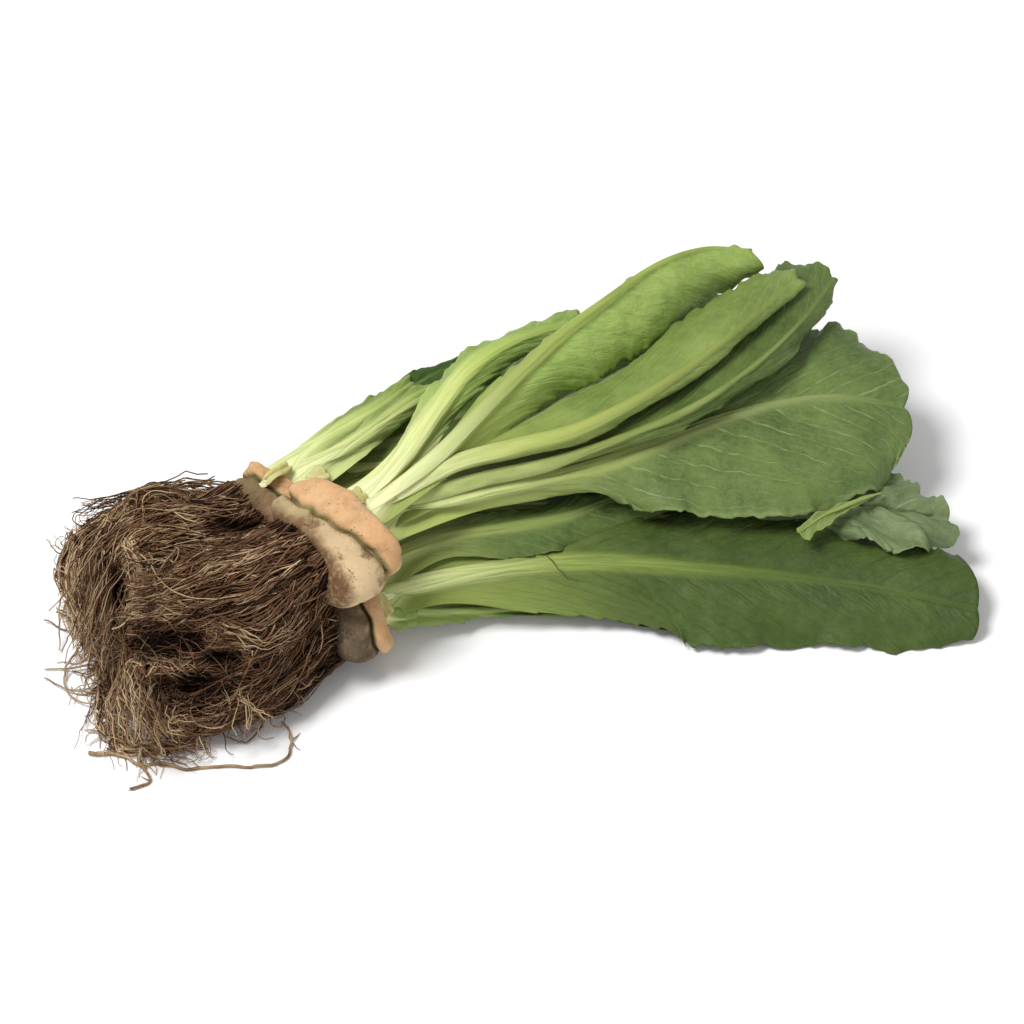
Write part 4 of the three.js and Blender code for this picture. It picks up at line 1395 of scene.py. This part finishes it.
# Single roots on the table, and one on the low leaf, as across, rise and height.
STRAY_ROOTS = [
    [[-134, -31.7, 1], [-130, -32.4, 1], [-126, -32, 1], [-120, -34, 1], [-117, -36, 1],
     [-114.5, -38.5, 1], [-114, -40.2, 1], [-117.5, -42, 1], [-120, -43, 1]],
    [[-117, -30, 4], [-117, -35.5, 1], [-110, -35, 1], [-103, -36.8, 1], [-92, -36, 1],
     [-79, -36, 1], [-72, -34, 1], [-69.7, -29, 1], [-70.5, -25, 1.2], [-73, -22, 1.5]],
    [[-128, -3, 6], [-135, -4.6, 3], [-142, -5.8, 1.6], [-149, -6, 1]],
    [[-126, -18, 4], [-132, -13.5, 3], [-141, -12, 2], [-149, -8.8, 1]],
    [[-141, 38, 22], [-143.5, 27, 16], [-142.5, 20, 13], [-144.8, 16, 10], [-144.6, 8, 6],
     [-145, 0, 1]],
    [[-138, 0, 4], [-142, -5, 2], [-142, -11, 1.5], [-138.5, -15.5, 1.5], [-131, -17, 3]],
    [[11.5, 29.5, 24.5], [13, 28, 24.2], [14.5, 26, 24], [16.5, 25, 23.6], [18, 23, 23.2],
     [20.5, 22, 22.6]],
    [[-84, -14, 8], [-80, -20, 4], [-79.5, -24, 2], [-84, -28.6, 1], [-90, -27, 2]],
]

# How thick each of them is, as a share of the usual.
STRAY_GIRTHS = [2.0, 2.0, 1.3, 1.3, 1.3, 1.3, 0.6, 1.3]


@dataclass(frozen=True)
class Lock:
    """A lock of roots over the mass, drawn as across and rise with a half width in millimetres."""

    line: list[list[float]]
    width: float
    count: int
    tint: float
    lift: float = 0.6


# The locks that the drawing shows one by one: line, half width, strands, tint and lift.
LOCKS = [
    Lock([[-90, 50], [-105, 50], [-118, 48.5], [-129, 44], [-138, 38.5]], 2.4, 70, 0.5),
    Lock([[-87, 45], [-102, 45], [-115, 42], [-126, 36], [-134, 28], [-136, 16]], 3.4, 80, 0.52),
    Lock([[-88, 41], [-104, 38], [-116, 36], [-127, 28], [-132, 14], [-134, 0]], 3.6, 60, 0.56),
    Lock([[-98, 36], [-112, 37], [-121, 33], [-126, 22], [-128, 8], [-131, -6]], 3.6, 44, 0.64),
    Lock([[-137, 38], [-138, 27], [-135, 14], [-133, 4], [-134, -3]], 3.2, 34, 0.66, 1.2),
    Lock([[-124, 36], [-119.5, 28], [-117, 19], [-111, 14.5], [-102, 13]], 1.8, 40, 0.72, 1.4),
    Lock([[-72, 39], [-82, 37.5], [-92, 33], [-102, 28], [-112, 24], [-121, 21]], 3.0, 100, 0.52),
    Lock([[-65, 36], [-76, 31], [-88, 26], [-100, 21], [-112, 17], [-121, 14]], 4.4, 130, 0.5),
    Lock([[-63, 28], [-74, 20], [-86, 14], [-98, 11], [-110, 11], [-121, 12]], 4.4, 120, 0.52),
    Lock([[-62.5, 21], [-70, 10], [-80, 4], [-92, 5], [-104, 9]], 4.0, 100, 0.46),
    Lock([[-62, 14], [-68, 2], [-78, -8], [-90, -12], [-102, -14]], 4.6, 110, 0.42),
    Lock([[-62, 6], [-71, -7], [-82, -15], [-93, -20]], 3.4, 70, 0.4),
    Lock([[-94, 11], [-87, 5.5], [-79, 3.5], [-71, 6], [-67, 10]], 1.4, 9, 0.68, 0.8),
    Lock([[-118, 3], [-121.5, -8], [-120, -18], [-116, -30]], 5.0, 110, 0.74, 1.4),
    Lock([[-122, 0], [-125, -10], [-127, -18], [-123, -26]], 3.0, 50, 0.7, 1.0),
    Lock([[-128, -27], [-119, -30], [-108, -30.5], [-96, -29]], 1.6, 44, 0.62, 0.8),
    Lock([[-113, -3], [-113, -13], [-111, -23], [-105, -29]], 2.6, 40, 0.66, 1.0),
    Lock([[-88, 1], [-86.5, -9], [-83, -17], [-79.5, -23]], 1.5, 12, 0.76, 1.6),
    Lock([[-138, 36], [-140, 24], [-137, 12], [-132, 2], [-129, -8]], 2.0, 36, 0.72, 1.6),
    Lock([[-135, 24], [-137, 14], [-135, 7], [-129, 3], [-122, 5]], 2.2, 34, 0.72, 1.4),
    Lock([[-146, 14], [-141, 9], [-136, 8], [-130, 10]], 2.0, 16, 0.74, 1.0),
    Lock([[-122, -1], [-112, -1.5], [-104, -4.5], [-94, -5.5]], 2.0, 18, 0.8, 2.0),
    Lock([[-113, -15.5], [-101, -16], [-90, -14]], 2.4, 18, 0.7, 1.8),
    Lock([[-127, 10], [-118, 13], [-110, 11], [-101, 13]], 1.6, 14, 0.62, 1.2),
    Lock([[-129, 33], [-130, 22], [-128, 10], [-123, 2]], 2.6, 16, 0.8, 2.0),
]

# The drawn outline of the mass, from the back plant's foam round to the low plant's.
FRAYED_EDGE = [
    [-93, 52], [-105, 51.5], [-118, 49.5], [-130, 45], [-141, 38.5], [-142, 28], [-138, 14],
    [-134, 4], [-135, -4], [-131, -16], [-128, -26], [-117, -31], [-103, -30], [-90, -23],
    [-78, -20], [-66, -14],
]


@dataclass
class StrandTree:
    """The Geometry Nodes tree that turns drawn lines into round, tapering, crooked roots."""

    thickness: float = 0.36
    sides: int = 3
    wander: float = 2.6
    floor: float = 0.55
    seed: int = 11

    def build(self, material: bpy.types.Material) -> bpy.types.NodeTree:
        """Builds the tree.

        Args:
            material: What the roots are made of.

        Returns:
            The node tree, with named inputs for its sizes.
        """
        tree = bpy.data.node_groups.new("root_strands", "GeometryNodeTree")
        tree.interface.new_socket(name="Lines", in_out="INPUT", socket_type="NodeSocketGeometry")
        for name, kind, usual in (
            ("Thickness", "NodeSocketFloat", self.thickness * MM),
            ("Sides", "NodeSocketInt", self.sides),
            ("Wander", "NodeSocketFloat", self.wander * MM),
            ("Seed", "NodeSocketFloat", float(self.seed)),
            ("Floor", "NodeSocketFloat", self.floor * MM),
        ):
            size = tree.interface.new_socket(name=name, in_out="INPUT", socket_type=kind)
            size.default_value = usual
        tree.interface.new_socket(name="Roots", in_out="OUTPUT", socket_type="NodeSocketGeometry")
        s = Shade(tree)
        given, out = s.node("NodeGroupInput").outputs, s.node("NodeGroupOutput").inputs
        curves = s.wire("GeometryNodeMeshToCurve", {"Mesh": given["Lines"]})
        # Crooks: each point is shifted by noise, and then kept above the table.
        bumps = {"Scale": 170.0, "Detail": 3.0, "W": given["Seed"]}
        noise = s.wire("ShaderNodeTexNoise", bumps, noise_dimensions="4D")
        middle = {0: noise["Color"], 1: (0.5, 0.5, 0.5)}
        shift = s.wire("ShaderNodeVectorMath", middle, operation="SUBTRACT")
        amount = {0: shift[0], "Scale": given["Wander"]}
        shift = s.wire("ShaderNodeVectorMath", amount, operation="SCALE")
        lines = s.wire("GeometryNodeSetPosition", {"Geometry": curves["Curve"], "Offset": shift[0]})
        spot = s.wire("GeometryNodeInputPosition", {})
        spot = s.wire("ShaderNodeSeparateXYZ", {0: spot[0]})
        above = {"X": spot["X"], "Y": spot["Y"], "Z": s.math("MAXIMUM", spot["Z"], given["Floor"])}
        above = s.wire("ShaderNodeCombineXYZ", above)
        lines = s.wire(
            "GeometryNodeSetPosition", {"Geometry": lines["Geometry"], "Position": above[0]}
        )
        # The skin: a ring of few sides, as thick at each point as the line's girth says.
        girth = s.wire("GeometryNodeInputNamedAttribute", {"Name": "girth"}, data_type="FLOAT")
        girth = girth["Attribute"]
        lines = s.wire("GeometryNodeSetCurveRadius", {"Curve": lines["Geometry"], "Radius": girth})
        ring = {"Resolution": given["Sides"], "Radius": given["Thickness"]}
        ring = s.wire("GeometryNodeCurvePrimitiveCircle", ring)
        swept = {"Curve": lines["Curve"], "Profile Curve": ring["Curve"], "Scale": girth}
        skin = s.wire("GeometryNodeCurveToMesh", {**swept, "Fill Caps": True})
        smooth = s.wire("GeometryNodeSetShadeSmooth", {"Geometry": skin["Mesh"]})
        real = s.wire("GeometryNodeRealizeInstances", {"Geometry": smooth["Geometry"]})
        finish = {"Geometry": real["Geometry"], "Material": material}
        s.feed(out["Roots"], s.wire("GeometryNodeSetMaterial", finish)["Geometry"])
        return tree


@dataclass
class Lines:
    """Drawn lines that wait to become roots: points, how thick they are, and their tint."""

    points: list[np.ndarray] = field(default_factory=list)
    girths: list[np.ndarray] = field(default_factory=list)
    tints: list[np.ndarray] = field(default_factory=list)

    def add(
        self, points: np.ndarray, girth: float, tint: float | np.ndarray, taper: float = 0.6
    ) -> None:
        """Adds one line.

        Args:
            points: Its points, in millimetres.
            girth: How thick it starts, as a share of the usual.
            tint: From 0, dark, to 1, pale. One number, or one for each point.
            taper: The share of its thickness that it loses towards its end.
        """
        s = np.linspace(0, 1, len(points))
        self.points.append(points)
        self.girths.append(girth * (1 - taper * s))
        self.tints.append(np.full(len(points), tint))

    def grow(
        self, name: str, tree: bpy.types.NodeTree, thickness: float, seed: int
    ) -> bpy.types.Object:
        """Turns the lines into one mesh of roots.

        Args:
            name: The piece's name.
            tree: The strand tree.
            thickness: Radius of a strand of girth one, in millimetres.
            seed: Picks the crooks of the strands.

        Returns:
            The roots as a plain mesh object.
        """
        mesh = bpy.data.meshes.new(f"{name}_lines")
        edges, count = [], 0
        for line in self.points:
            edges += [(count + k, count + k + 1) for k in range(len(line) - 1)]
            count += len(line)
        mesh.from_pydata(((np.vstack(self.points) - BOX_MIDDLE) * MM).tolist(), edges, [])
        for key, values in (("girth", self.girths), ("tint", self.tints)):
            attribute = mesh.attributes.new(key, "FLOAT", "POINT")
            attribute.data.foreach_set("value", np.concatenate(values).astype(np.float32))
        drawn = bpy.data.objects.new(f"{name}_lines", mesh)
        bpy.context.scene.collection.objects.link(drawn)
        modifier = drawn.modifiers.new("strands", "NODES")
        modifier.node_group = tree
        sockets = {item.name: item.identifier for item in tree.interface.items_tree}
        modifier[sockets["Thickness"]] = thickness * MM
        modifier[sockets["Seed"]] = float(seed)
        graph = bpy.context.evaluated_depsgraph_get()
        made = bpy.data.meshes.new_from_object(drawn.evaluated_get(graph), depsgraph=graph)
        drawn.modifiers.remove(modifier)
        bpy.data.objects.remove(drawn)
        made.name = name
        piece = bpy.data.objects.new(name, made)
        bpy.context.scene.collection.objects.link(piece)
        return piece


# The hollows, where the mass sinks and its strands take painted shade: across, rise, and their half
# sizes across and up.
HOLLOWS = [
    (-110, 2.5, 15, 7), (-100, -13, 14, 7), (-125, 20, 2.6, 8), (-88, 39.8, 7.5, 2.4),
    (-92, -3, 7, 4),
]


def hollow_at(points: np.ndarray) -> np.ndarray:
    """Says how deep in one of the mass's hollows, which take painted shade, each point lies.

    Args:
        points: Points in millimetres.

    Returns:
        A depth from 0 to 1 for each.
    """
    rise = rise_of(points)
    found = np.zeros(len(points))
    for across, up, long, high in HOLLOWS:
        away = ((points[:, 0] - across) / long) ** 2 + ((rise - up) / high) ** 2
        found = np.maximum(found, np.exp(-(away**2)))
    return found


@dataclass
class RootBundle:
    """One plant's roots: a heart painted near-black as the shade between the strands, a skin of
    strands that follow it, and a tangle over them.
    """

    spec: BundleSpec
    stem: Stem
    seed: int
    flowing: int = 1500
    tangled: int = 420
    families: int = 7
    steps: int = 18
    thickness: float = 0.26
    usual_length: float = 60.0
    usual_radius: float = 15.0

    def __post_init__(self) -> None:
        """Works out the bundle's middle line."""
        axis, _, _, middle = self.stem.frame()
        start = middle - axis * self.stem.size[2] * 0.45
        self.line = Rail(np.vstack([start, np.array(self.spec.line, float)]))
        self.random = np.random.default_rng(self.seed)

    def skin(self, u: np.ndarray, angle: np.ndarray, share: np.ndarray | float) -> np.ndarray:
        """Points on the bundle's skin.

        Args:
            u: Shares of the way along it, which may go past one.
            angle: Angles round it.
            share: Shares of the way out from its middle line.

        Returns:
            One row for each point, in millimetres.
        """
        held = np.minimum(u, 1.0)
        heading = self.line.heading(held)
        level = unit(np.cross(heading, [0, 0, 1]))
        upright = np.cross(level, heading)
        lump = 1 + 0.06 * np.sin(3 * angle + 9 * u) + 0.05 * np.sin(2 * angle - 14 * u)
        spots = np.linspace(0, 1, len(self.spec.level))
        wide = np.interp(held, spots, self.spec.level)
        tall = np.interp(held, spots, self.spec.upright)
        return (
            self.line.at(held)
            + heading * (14 * np.maximum(u - 1, 0))[:, None]
            + level * (wide * lump * share * np.cos(angle))[:, None]
            + upright * (tall * lump * share * np.sin(angle))[:, None]
        )

    def build(self, tree: bpy.types.NodeTree, material: bpy.types.Material) -> None:
        """Builds the heart and the strands.

        Args:
            tree: The strand tree.
            material: The root finish.
        """
        settle(self.build_heart(material), Slot.ROOT, "root_mat")
        lines = Lines()
        self.draw_flow(lines)
        self.draw_tangle(lines)
        piece = lines.grow(f"roots_{self.spec.name}", tree, self.thickness, self.seed)
        settle(piece, Slot.ROOT, "root_mat")

    def build_heart(self, material: bpy.types.Material) -> bpy.types.Object:
        """Makes the body under the strands, painted near-black as the shade in the gaps between
        them.

        Args:
            material: The root finish.

        Returns:
            The heart object.
        """
        rows, sides = 70, 96
        u = np.linspace(0, 1.2, rows)
        angle = np.linspace(0, 2 * math.pi, sides, endpoint=False)
        close = np.sqrt(np.clip(1 - ((u - 1) / 0.22) ** 2, 0.01, 1)) * (u > 1) + (u <= 1)
        uu, aa = np.repeat(u, sides), np.tile(angle, rows)
        noise = SmoothNoise(self.seed + 3)
        furrow = 0.09 * noise(aa * 9 / math.pi, uu * 6) + 0.08 * noise(aa * 26 / math.pi, uu * 13)
        share = np.repeat(close, sides) * (0.75 + furrow)
        points = self.skin(uu, aa, share * (1 - 0.2 * hollow_at(self.skin(uu, aa, share))))
        points[:, 2] = np.maximum(points[:, 2], SHELL_FLOOR)
        # A tint near zero paints the heart near-black, as painted shade between the strands.
        marks = {"tint": 0.3 * np.maximum(furrow, 0)}
        faces = [f[::-1] for f in tube_faces(rows, sides)]
        return put(f"root_heart_{self.spec.name}", Patch(points, faces, marks), material)

    @staticmethod
    def lay(points: np.ndarray) -> np.ndarray:
        """Keeps a line on or above the table."""
        points[:, 2] = np.maximum(points[:, 2], STRAND_FLOOR)
        return points

    def draw_flow(self, lines: Lines) -> None:
        """Draws the strands that run with the bundle, in families that cross each other.

        Args:
            lines: Where they go.
        """
        random = self.random
        noise = SmoothNoise(self.seed + 5)
        for k in range(self.flowing):
            family = k % self.families
            start = random.uniform(-0.02, 0.66) if k % 2 else random.uniform(-0.04, 0.05)
            end = min(1.3, start + random.uniform(0.3, 0.9))
            u = np.linspace(start, end, self.steps)
            turn = random.uniform(0, 2 * math.pi)
            drift = random.normal(0, 0.3) * np.linspace(0, 1, self.steps)
            drift = drift + 0.5 * noise(u * 2.6, turn * 1.5 + 9 * family)
            drift = drift + 0.26 * noise(u * 6 + 40, turn * 3 + 9 * family)
            drift = drift + 0.13 * noise(u * 13, k * 0.37)
            drift = drift * (0.2 + 0.8 * smoothstep(0, 0.2, u))
            out = 0.87 + 0.025 * family + 0.05 * random.uniform()
            out = out + 0.05 * noise(u * 8 + 9, k * 0.61)
            out = out * (1 - 0.42 * smoothstep(0.95, 1.3, u))
            # In the hollows the strands sink and are painted darker, as painted shade.
            sunk = hollow_at(self.skin(u, turn + drift, out))
            out = out * (1 - 0.34 * sunk * random.uniform(0.3, 1))
            points = self.lay(self.skin(u, turn + drift, out))
            tint = self.spec.tint - 0.14 + random.normal(0, 0.2) + 0.5 * max(start, 0)
            tint = np.clip(tint, 0.05, 1) * (1 - 0.8 * sunk)
            lines.add(points, random.uniform(0.55, 1.25), tint)

    def draw_tangle(self, lines: Lines) -> None:
        """Draws the paler strands that loop over the others, most of them away from the foam.

        Args:
            lines: Where they go.
        """
        random = self.random
        noise = SmoothNoise(self.seed + 8)
        for k in range(self.tangled):
            middle = min(1.15, 0.2 + 0.95 * math.sqrt(random.uniform()))
            turn, reach = random.uniform(0, 2 * math.pi), random.uniform(8, 28)
            s = np.linspace(-1, 1, self.steps)
            curl = turn + random.normal(0, 1.6) * s + 1.2 * noise(s * 2.4 + 7, k * 0.53)
            step = reach / self.steps
            u = middle + np.cumsum(np.cos(curl)) * step / self.usual_length
            angle = np.cumsum(np.sin(curl)) * step / self.usual_radius
            angle = angle + random.uniform(0, 2 * math.pi)
            u = np.clip(u, 0.08, 1.3)
            out = 1.0 + 0.09 * random.uniform() + 0.06 * (1 - s**2) * random.uniform()
            out = out * (1 - 0.42 * smoothstep(0.95, 1.3, u))
            # In the hollows the strands sink and are painted darker, as painted shade.
            sunk = hollow_at(self.skin(u, angle, out))
            points = self.lay(self.skin(u, angle, out * (1 - 0.2 * sunk)))
            tint = np.clip(self.spec.tint + 0.16 + random.normal(0, 0.2), 0.15, 1)
            lines.add(points, random.uniform(0.55, 1.3), tint * (1 - 0.45 * sunk), 0.45)


class Drape:
    """Heights of the side of the root mass that is seen, on a grid over across and rise.

    The grid has one cell for each millimetre, and its first cell lies LEFT and BELOW the origin.
    """

    LEFT, BELOW = 160, 50
    WIDE, TALL = 110, 120
    SAMPLES = 220
    SMOOTHINGS = 9

    def __init__(self, bundles: list[RootBundle]) -> None:
        """Samples every bundle's skin on a grid of millimetres.

        Args:
            bundles: The bundles that make up the mass.
        """
        self.grid = np.full((self.WIDE, self.TALL), -1.0)
        u = np.repeat(np.linspace(0, 1.16, self.SAMPLES), self.SAMPLES)
        angle = np.tile(np.linspace(0, 2 * math.pi, self.SAMPLES), self.SAMPLES)
        close = np.sqrt(np.clip(1 - ((u - 1) / 0.26) ** 2, 0.04, 1)) * (u > 1) + (u <= 1)
        for bundle in bundles:
            points = bundle.skin(u, angle, close)
            i = np.clip(np.round(points[:, 0] + self.LEFT).astype(int), 0, self.WIDE - 1)
            j = np.clip(np.round(rise_of(points) + self.BELOW).astype(int), 0, self.TALL - 1)
            np.maximum.at(self.grid, (i, j), points[:, 2])
        empty = self.grid < 0
        self.grid[empty] = 1.0
        for _ in range(self.SMOOTHINGS):
            padded = np.pad(self.grid, 1, mode="edge")
            near = [(a, b) for a in range(3) for b in range(3)]
            blurred = sum(padded[a : a + self.WIDE, b : b + self.TALL] for a, b in near) / len(near)
            self.grid = np.where(empty, blurred, 0.6 * self.grid + 0.4 * blurred)

    def at(self, across: np.ndarray, rise: np.ndarray) -> np.ndarray:
        """Reads the heights at drawn places.

        Args:
            across: How far to the right each place is.
            rise: How far up it appears.

        Returns:
            The heights, in millimetres.
        """
        x = np.clip(across + self.LEFT, 0, self.WIDE - 1.1)
        y = np.clip(rise + self.BELOW, 0, self.TALL - 1.1)
        i, j = x.astype(int), y.astype(int)
        p, q, g = x - i, y - j, self.grid
        low = g[i, j] * (1 - p) + g[i + 1, j] * p
        high = g[i, j + 1] * (1 - p) + g[i + 1, j + 1] * p
        return low * (1 - q) + high * q


@dataclass
class RootLocks:
    """The locks that lie over the mass, and the frayed ends round it."""

    drape: Drape
    seed: int
    frays: int = 420
    lock_steps: int = 16
    fray_steps: int = 14
    thickness: float = 0.3
    steepest: float = 12.0
    dip: float = 9.0
    leftmost: float = -150.5

    def build(self, tree: bpy.types.NodeTree) -> None:
        """Makes the locks and the frayed ends as two pieces.

        Args:
            tree: The strand tree.
        """
        random = np.random.default_rng(self.seed)
        lines = Lines()
        for k, lock in enumerate(LOCKS):
            self.draw_lock(lines, lock, random, k)
        settle(lines.grow("root_locks", tree, self.thickness, self.seed), Slot.ROOT, "root_mat")
        ends = Lines()
        self.draw_frays(ends, random)
        settle(ends.grow("root_ends", tree, self.thickness, self.seed + 1), Slot.ROOT, "root_mat")

    def raise_up(self, flat: np.ndarray, lift: np.ndarray | float) -> np.ndarray:
        """Turns drawn places into points that lie on the mass or on the table.

        Args:
            flat: Rows of across and rise.
            lift: How far above the mass they lie.

        Returns:
            Rows of x, y and z.
        """
        height = self.drape.at(flat[:, 0], flat[:, 1]) + lift
        height = np.maximum(height, max(height.max() - self.steepest, LOCK_FLOOR))
        sunk = hollow_at(place(np.column_stack([flat, height])))
        return place(np.column_stack([flat, np.maximum(height - self.dip * sunk, LOCK_FLOOR)]))

    def draw_lock(self, lines: Lines, lock: Lock, random: np.random.Generator, k: int) -> None:
        """Draws one lock's strands, side by side but never quite alike.

        Args:
            lines: Where they go.
            lock: The lock.
            random: Seeded numbers.
            k: The lock's index, which shifts its noise.
        """
        rail = Rail(np.array([[a, r, 0.0] for a, r in lock.line]))
        noise = SmoothNoise(self.seed + k)
        s = np.linspace(0, 1, self.lock_steps)
        for n in range(lock.count):
            span = random.uniform(0.4, 1.0)
            begin = random.uniform(0, 1 - span)
            t = begin + span * s
            heading = rail.heading(t)[:, :2]
            across = np.column_stack([-heading[:, 1], heading[:, 0]])
            offset = np.clip(random.normal(0, 0.85), -1.8, 1.8) * lock.width
            offset = offset * (1 + 0.5 * noise(t * 3, 0.11 * n)) + 2.2 * noise(t * 4 + 20, 0.37 * n)
            offset = offset + 1.2 * noise(t * 11 + 50, 0.71 * n)
            offset = offset + random.normal(0, 1.5) * (2 * s - 1)
            tail = np.maximum(s - 0.6, 0) * np.clip(random.normal(0, 10), -14, 14)
            flat = rail.at(t)[:, :2] + across * (offset + tail)[:, None]
            lift = lock.lift + random.uniform(-1.2, 1.2) + 1.2 * noise(t * 4 + 40, 0.23 * n)
            tint = np.clip(lock.tint + random.normal(0, 0.22), 0.06, 1)
            lines.add(self.raise_up(flat, lift), random.uniform(0.6, 1.3), tint, 0.5)

    def draw_frays(self, lines: Lines, random: np.random.Generator) -> None:
        """Draws the loose ends that leave the edge of the mass and curl as they go.

        Args:
            lines: Where they go.
            random: Seeded numbers.
        """
        rail = Rail(np.array([[a, r, 0.0] for a, r in FRAYED_EDGE]))
        s = np.linspace(0, 1, self.fray_steps)
        for n in range(self.frays):
            t = np.array([random.uniform(0, 1)])
            start, heading = rail.at(t)[0, :2], rail.heading(t)[0, :2]
            out = np.array([heading[1], -heading[0]])
            far = smoothstep(0.2, 0.32, t[0])
            turn = math.atan2(out[1], out[0]) + random.normal(0, 0.75)
            length = random.uniform(2, 4.5) + far * random.uniform(1, 11)
            curl = random.normal(0, 2.2)
            bearing = turn + curl * s + 0.8 * np.sin(6 * s + n)
            step = length / (self.fray_steps - 1)
            flat = np.column_stack([np.cumsum(np.cos(bearing)), np.cumsum(np.sin(bearing))]) * step
            flat = start - out * 3.5 + flat
            flat[:, 0] = np.maximum(flat[:, 0], self.leftmost)
            height = self.drape.at(flat[:1, 0], flat[:1, 1])
            height = height * (1 - 0.75 * far * s**1.5) * (1 - far * random.uniform(0, 0.5))
            height = np.maximum(height, LOCK_FLOOR)
            tint = np.clip(0.68 + random.normal(0, 0.16), 0.2, 1)
            lines.add(place(np.column_stack([flat, height])), random.uniform(0.55, 1.25), tint, 0.6)


@dataclass
class StrayRoots:
    """The single roots that leave the mass and lie on the table."""

    seed: int
    thickness: float = 0.36

    def build(self, tree: bpy.types.NodeTree) -> None:
        """Makes them as one piece, the thickest with a few side roots.

        Args:
            tree: The strand tree.
        """
        random = np.random.default_rng(self.seed)
        lines = Lines()
        for drawn, girth in zip(STRAY_ROOTS, STRAY_GIRTHS):
            rail = Rail(place(drawn))
            points = rail.at(np.linspace(0, 1, 60))
            points[:, 2] = np.maximum(points[:, 2], 0.8)
            lines.add(points, girth, 0.72 if girth > 1 else 0.35, 0.45)
            for _ in range(4 if girth > 1.5 else 0):
                u = random.uniform(0.15, 0.95)
                start = rail.at(np.array([u]))[0]
                bend = random.uniform(0, 2 * math.pi)
                s = np.linspace(0, 1, 10)[:, None]
                along = np.array([math.cos(bend), math.sin(bend), 0.0])
                side = np.array([-along[1], along[0], 0.0])
                reach = random.uniform(3, 8)
                twig = start + along * reach * s + side * reach * 0.5 * random.normal() * s**2
                twig[:, 2] = np.maximum(twig[:, 2] * (1 - s[:, 0]), 0.5)
                lines.add(twig, 1.1, 0.66, 0.7)
        settle(lines.grow("stray_roots", tree, self.thickness, self.seed), Slot.ROOT, "root_mat")


@dataclass
class Studio:
    """The floor, the soft lights and the camera."""

    aim: tuple[float, float, float] = (-0.00145, -0.00131, 0.03)
    span: float = 0.32768
    lens: float = 300.0
    sensor: float = 36.0
    floor: float = 6.0
    surround: float = 0.5

    def build(self) -> None:
        """Builds the studio."""
        scene = bpy.context.scene
        scene.view_settings.view_transform = "Standard"
        self.build_floor()
        self.build_lights()
        self.build_camera()

    def build_floor(self) -> None:
        """Makes the plain pale floor."""
        mesh = bpy.data.meshes.new("floor")
        signs = ((-1, -1), (1, -1), (1, 1), (-1, 1))
        corners = [(x * self.floor, y * self.floor, 0) for x, y in signs]
        mesh.from_pydata(corners, [], [(0, 1, 2, 3)])
        made, _, shader = new_material("floor")
        shader.inputs["Base Color"].default_value = (0.9, 0.9, 0.9, 1)
        shader.inputs["Roughness"].default_value = 0.9
        mesh.materials.append(made)
        floor = bpy.data.objects.new("floor", mesh)
        bpy.context.scene.collection.objects.link(floor)

    def build_lights(self) -> None:
        """Makes a large soft light above on the left, a fill, and a pale surround."""
        world = bpy.data.worlds.new("studio")
        bpy.context.scene.world = world
        world.use_nodes = True
        sky = world.node_tree.nodes["Background"]
        sky.inputs["Color"].default_value = (1, 1, 1, 1)
        sky.inputs["Strength"].default_value = self.surround
        for name, where, size, power in (
            ("key", (-0.7, -0.35, 1.5), 0.7, 27.0),
            ("fill", (1.2, -0.9, 0.9), 1.2, 4.0),
        ):
            light = bpy.data.lights.new(name, "AREA")
            light.shape, light.size, light.energy = "DISK", size, power
            lamp = bpy.data.objects.new(name, light)
            lamp.location = where
            turn = (Vector(self.aim) - Vector(where)).to_track_quat("-Z", "Y")
            lamp.rotation_euler = turn.to_euler()
            bpy.context.scene.collection.objects.link(lamp)

    def build_camera(self) -> None:
        """Puts the camera in front, half way up the sky, with the bunch filling its view."""
        lens = bpy.data.cameras.new("camera")
        lens.lens, lens.sensor_width = self.lens, self.sensor
        camera = bpy.data.objects.new("camera", lens)
        distance = self.span * self.lens / self.sensor
        back = Vector((0, -math.cos(SIGHT_ANGLE), math.sin(SIGHT_ANGLE)))
        camera.location = Vector(self.aim) + back * distance
        camera.rotation_euler = (-back).to_track_quat("-Z", "Y").to_euler()
        lens.clip_end = 50
        bpy.context.scene.collection.objects.link(camera)
        bpy.context.scene.camera = camera


def main() -> None:
    """Builds the whole bunch, piece by piece."""
    logging.basicConfig(level=logging.INFO, format="%(name)s: %(message)s")
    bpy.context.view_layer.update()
    Studio().build()
    effects = Effects().build()
    leaf_finishes = {
        layer: finish.build(layer.value, effects) for layer, finish in LEAF_FINISHES.items()
    }
    root_finish = RootFinish().build("strand", effects)
    for k, (name, stem) in enumerate(STEMS.items()):
        Plant(stem, LEAVES[name], leaf_finishes, PLANT_SEED + PLANT_SEED_STEP * k).build()
        foam = FOAM_FINISHES[name].build(name, effects)
        FoamRing(stem, FOLDS[name], LOBES[name], FOAM_SEED + k).build(foam)
    strands = StrandTree().build(root_finish)
    bundles = [
        RootBundle(spec, STEMS[spec.name], BUNDLE_SEED + BUNDLE_SEED_STEP * k)
        for k, spec in enumerate(BUNDLES)
    ]
    for bundle in bundles:
        bundle.build(strands, root_finish)
    RootLocks(Drape(bundles), LOCK_SEED).build(strands)
    StrayRoots(STRAY_SEED).build(strands)


if __name__ == "__main__":
    main()
